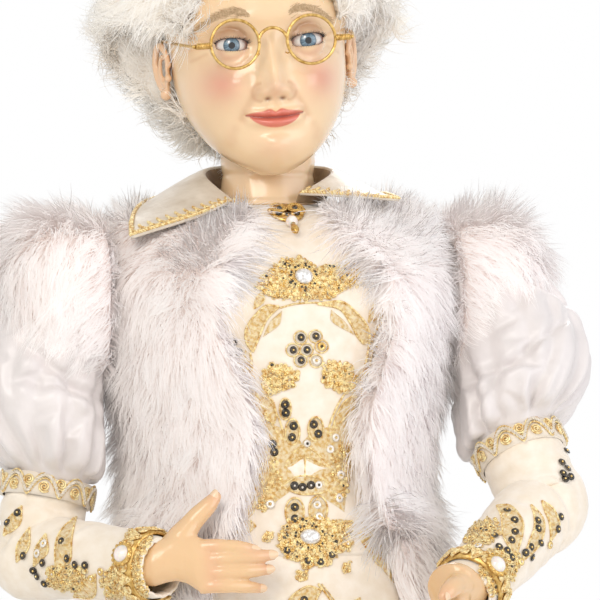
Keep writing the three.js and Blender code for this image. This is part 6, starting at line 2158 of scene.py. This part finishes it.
    # The belt's cluster and its stone
    lace = Lace("belt_lace", tree, "figure", 73)
    lace.mass([(286, 522), (300, 516), (322, 516), (334, 522), (350, 520), (356, 532), (352, 548),
               (336, 556), (330, 564), (306, 568), (288, 558), (278, 546), (280, 530)],
              3.0, 1.35, 0.4, 0.35)
    lace.stone(309.8, 537, 5.2, 3.9)
    lace.sequins([(285, 536), (287, 550.8), (307.3, 561), (320, 562.5), (331, 555)])
    lace.sequins([(346.8, 544.8)], "gold_sequin", 2.1, "pale_sequin")
    lace.fringe([(352, 524), (360, 540), (372, 556), (384, 570)],
                [(366, 534), (380, 556), (394, 574), (402, 588)], 70)
    for k in range(4):
        lace.cord([(352 + 3 * k, 526 - k), (366 + 3 * k, 545 - 2 * k), (381 + 3 * k, 565 - 2 * k),
                   (397 + 2 * k, 582 - 2 * k)], 0.5)
    lace.leaf([(230, 534), (238, 524), (250, 521), (256, 526)],
              [(230, 534), (246, 534), (256, 526)], 0.5, 4)
    lace.mass([(262, 534), (272, 532), (274, 540), (264, 542)], 2.8, 1.2, 0.3, 0.1)
    lace.mass([(297, 572), (308, 570), (308, 580), (298, 581)], 2.8, 1.2, 0.4, 0.1)
    lace.mass([(340, 563), (351, 563), (351, 571), (341, 572)], 2.8, 1.2, 0.4, 0.1)
    made = lace.make()
    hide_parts("belt_brooch", "belt")
    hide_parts("belt_crystal")

    # The gown's front: one stem winds down to the hem, with leaves, a flower and a curl at every bend
    lace = Lace("gown_lace", tree, "figure", 74)
    levels = np.arange(STEM_TOP, STEM_END, 4.0)
    stem = GOWN_MIDDLE + STEM_SWING * np.sin(TAU * (levels - STEM_TOP) / (2 * BEND_HEIGHT))
    lace.cord(np.stack([stem, levels], -1), 0.75)
    lace.wire(np.stack([stem + 3.4, levels], -1), 0.35)
    for bend in range(BENDS):
        y, grow = STEM_TOP + (bend + 0.5) * BEND_HEIGHT, 1 + bend * 0.06
        side = 1 if bend % 2 else -1

        def put(*places):
            return [(GOWN_MIDDLE + side * across * grow, y + down) for across, down in places]

        lace.leaf(put((-3, -30), (12, -33), (30, -18), (34, 10)),
                  put((-3, -30), (8, -10), (20, 4), (34, 10)), 0.65, 7)
        lace.leaf(put((-19, 8), (-34, 0), (-42, -22)), put((-19, 8), (-25, -12), (-42, -22)), 0.55, 4)
        lace.leaf(put((-17, 18), (-30, 22), (-36, 38)), put((-17, 18), (-20, 32), (-36, 38)), 0.5, 3, None)
        turn = np.linspace(0, TAU * 1.4, 30)
        reach = np.linspace(1.5, 8, 30)
        lace.cord(put(*zip(16 + np.sin(turn) * reach, 28 - np.cos(turn) * reach)), 0.5)
        lace.mass(put((-26, -10), (-18, -16), (-9, -10), (-9, 4), (-18, 10), (-27, 4)), 3.0, 1.3, 0.5, 0.3)
        lace.sequins(put((14, -20), (22, -8), (16, 28)), "dark_sequin", 1.9)
        lace.sequins(put((-34, -12), (30, 22)), "pale_sequin", 1.9)
        lace.sequins(put((-18, -2)), "dark_sequin", 2.2, "pale_sequin")
    for y in (STEM_END + 2, STEM_END + 12):
        lace.cord([(276, y - 1), (GOWN_MIDDLE, y), (360, y - 1)], 0.6)
    for k in range(11):
        lace.sequin(278 + k * 8, STEM_END + 6.5, "gold_sequin" if k % 3 else "dark_sequin", 1.8)
    lace.make()


def make_sleeve_lace(sleeves):
    for label, arm in ARMS.items():
        tree = tree_of(sleeves[label])
        lace = Lace("sleeve_lace_" + label, tree, "forearm_" + label, 81 + arm["side"])
        if label == "right":
            leaves = [
                ([(4, 536), (8, 520), (22, 506)], [(4, 536), (20, 524), (22, 506)]),
                ([(17, 562), (18, 545), (30, 528)], [(17, 562), (29, 548), (30, 528)]),
                ([(34, 566), (36, 548), (46, 534)], [(34, 566), (48, 552), (46, 534)]),
                ([(56, 566), (56, 545), (62, 530), (76, 517)], [(56, 566), (70, 562), (72, 540), (76, 517)]),
                ([(74, 596), (82, 582), (96, 574)], [(74, 596), (94, 596), (96, 574)]),
            ]
            dark = [(18, 513), (8, 523), (43.4, 563), (33.6, 570), (38, 576), (45, 583), (62.4, 541.7),
                    (67.8, 558.5), (75.9, 564.5), (85.7, 565.2), (24, 556)]
            pale = [(44.5, 544), (38, 553.6)]
            bright = [(53.7, 573.7), (101.6, 571.5), (108.8, 588.4), (92, 578)]
            masses = [[(120, 560), (128, 530), (146, 521), (152, 530), (150, 560), (152, 596), (108, 598),
                       (100, 580), (110, 570)],
                      [(48, 566), (70, 566), (88, 570), (84, 590), (60, 590), (46, 584)]]
        else:
            leaves = [
                ([(497, 506), (510, 506), (519, 515), (523, 524), (522, 534), (520, 543), (515, 557)],
                 [(497, 506), (501, 515), (502, 524), (503, 535), (508, 546), (515, 557)]),
                ([(531, 505), (541, 516), (544, 526), (542, 538), (536, 549), (521, 562)],
                 [(531, 505), (534, 516), (534, 528), (530, 539), (521, 562)]),
                ([(541.6, 501), (552, 508), (558, 520), (558, 529), (550, 541)],
                 [(541.6, 501), (545, 512), (549, 522), (550, 533), (550, 541)]),
                ([(571, 430), (578, 444), (579, 458)], [(571, 430), (570, 446), (579, 458)]),
            ]
            dark = [(507, 511.3), (514.6, 520.7), (515, 532.5), (511, 540.6), (537, 521), (537.5, 529),
                    (530, 547), (525, 552.6), (531.4, 557), (539.8, 543.4), (494.5, 536.5), (498.5, 547.4),
                    (506.5, 551), (511, 557.8), (560, 517), (557, 529), (565.8, 451.7), (561.4, 463),
                    (567, 469), (562.6, 474), (570, 477), (564.5, 480)]
            pale = [(478, 547)]
            bright = [(549, 545), (520, 562)]
            masses = [[(460, 534), (478, 522), (496, 518), (500, 534), (486, 546), (466, 548)],
                      [(482, 552), (500, 548), (520, 556), (516, 574), (506, 590), (490, 598), (478, 580)]]
        for first, second in leaves:
            lace.leaf(first, second, 0.6, 6)
        lace.sequins(dark, "dark_sequin", 2.0)
        lace.sequins(pale, "pale_sequin", 2.2)
        lace.sequins(bright, "gold_sequin", 2.0, "pale_sequin")
        for polygon in masses:
            lace.mass(polygon, 3.2, 1.35, 0.35, 0.35)
        lace.make()


# Boots and the forms inside the clothes

LEG_SPREAD, BASE_TOP = 26, 16


def make_boot(label, side):
    """A boot: leather round its sections, a sole, eyelets, laces and a bow."""
    x = side * LEG_SPREAD
    leather, sole, lace, metal = Pile(), Pile(), Pile(), Pile()
    # height, back, front, half width
    sections = np.array([(3.5, 11.5, -48, 11.4), (6, 12.6, -50.2, 12.4), (12, 12.8, -48.6, 12.8),
                         (18, 12.6, -42, 12.9), (25, 12, -29, 12.4), (32, 11.6, -20, 12),
                         (42, 11.2, -15.4, 12), (52, 11.4, -15.2, 12.8), (61.5, 11.8, -15.8, 13.6)])
    heights = np.linspace(sections[0, 0], sections[-1, 0], 60)
    back, front, half = (np.interp(heights, sections[:, 0], sections[:, k]) for k in (1, 2, 3))
    a = full_turn(48)
    crease = 0.45 * np.sin(heights * 0.9)[:, None] * bell(heights - 30, 12)[:, None] * (
        0.5 - 0.5 * np.sin(a))[None]

    def ring(grow=0.0, k=slice(None)):
        toe = np.clip(-np.sin(a), 0, 1) ** 2
        narrow = 1 - 0.16 * toe[None] * np.clip((30 - heights) / 24, 0, 1)[:, None]
        wide = (half[:, None] + grow + crease) * np.cos(a)[None] * narrow
        deep = (back + front)[:, None] / 2 + ((back - front)[:, None] / 2 + grow + crease) * np.sin(a)[None]
        low = np.broadcast_to(heights[:, None] + BASE_TOP, wide.shape)
        return np.stack([x + wide, deep, low], -1)[k]

    skin = ring()
    inner = ring(-1.6)[-12:][::-1]
    cap = np.broadcast_to(skin[0].mean(0), skin[0].shape)[None]
    leather.add(np.concatenate([cap, skin, inner]), grid_quads(len(skin) + len(inner) + 1, len(a), True))
    for lift, size in ((-0.6, 0.7), (-4.5, 0.45)):
        line = skin[-1] + vec(0, 0, lift)
        leather.tube(np.vstack([line, line[:1]]), size, 8)
    under = ring(1.0)[3]
    rows = []
    for z, grow in ((0.05, 0.96), (0.6, 1.0), (3.2, 1.0), (3.9, 0.97), (3.9, 0.2)):
        centre = under.mean(0)
        row = centre + (under - centre) * grow
        rows.append(np.column_stack([row[:, :2], np.full(len(a), BASE_TOP + z)]))
    bottom = np.broadcast_to(rows[0].mean(0), rows[0].shape)[None]
    sole.add(np.concatenate([bottom, rows]), grid_quads(len(rows) + 1, len(a), True))
    # Laces cross over the front
    levels = np.linspace(22, 57, 7)
    spots = []
    for z in levels:
        y = np.interp(z, sections[:, 0], sections[:, 2])
        spots.append((z + BASE_TOP, y))
    for (z, y), (z2, y2) in zip(spots, spots[1:]):
        for way in (-1, 1):
            crossing = [(x - way * 4.6, y + 0.8, z), (x, y - 0.9, (z + z2) / 2),
                        (x + way * 4.6, y2 + 0.8, z2)]
            lace.tube(even(crossing, 0.8), 0.6, 6)
    for z, y in spots:
        for way in (-1, 1):
            metal.ball((x + way * 4.9, y + 0.9, z), 0.95, 8)
    z, y = spots[-1]
    for way in (-1, 1):
        t = np.linspace(0, TAU, 22)
        bow = np.stack([x + way * (3.4 - 3.4 * np.cos(t)), y - 1.0 - 0.8 * np.sin(t / 2),
                        z - 0.8 + 2.0 * np.sin(t)], -1)
        lace.tube(bow, 0.6, 6)
    made = leather.make("boot_leather_" + label, "leather", "figure")
    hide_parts("boot_" + label)
    sole.make("boot_sole_" + label, "sole", "figure")
    lace.make("boot_lace_" + label, "sole", "figure")
    metal.make("boot_eyelets_" + label, "gold", "figure")


def make_inner():
    """The boots, and the wadding in the place of the body's and the arms' forms."""
    for side, label in SIDES:
        make_boot(label, side)
    specs = [(node, "figure") for node in ("torso_form", "hip_block", "leg_right", "leg_left")]
    for label in ARMS:
        specs += [("upper_arm_" + label, "upper_arm_" + label), ("forearm_" + label, "forearm_" + label)]
    for node, body in specs:
        form = skin_of(node, 2.2, 0.25, 3)
        form.name = node + "_muslin"
        if node.startswith("forearm"):
            # The wadding ends short of the wrist, which turns in the cuff
            arm = ARMS[node.removeprefix("forearm_")]
            places = points_of(form)
            run = (places - arm["wrist"]) @ arm["fore"]
            places -= np.maximum(run + 13.5, 0)[:, None] * arm["fore"]
            move_points(form, places)
        dressed(form, "muslin", body, node)
        form.data.shade_smooth()


# Making

make_stage()
pieces = make_dress()
make_fur(make_collar())
make_face()
make_spectacles()
make_clasp()
make_hair()
sleeves = make_arms()
make_bodice_lace(pieces)
make_sleeve_lace(sleeves)
make_inner()

for node, material in {
    "base_felt": "felt", "base_board": "wood", "stand_socket": "steel", "stand_rod": "steel",
    "socket_screw_1": "steel", "socket_screw_2": "steel", "shoulder_yoke": "steel",
    "neck_socket": "wood",
}.items():
    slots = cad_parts[node].material_slots
    slots[0].material = MATERIALS[material]

bpy.context.view_layer.update()
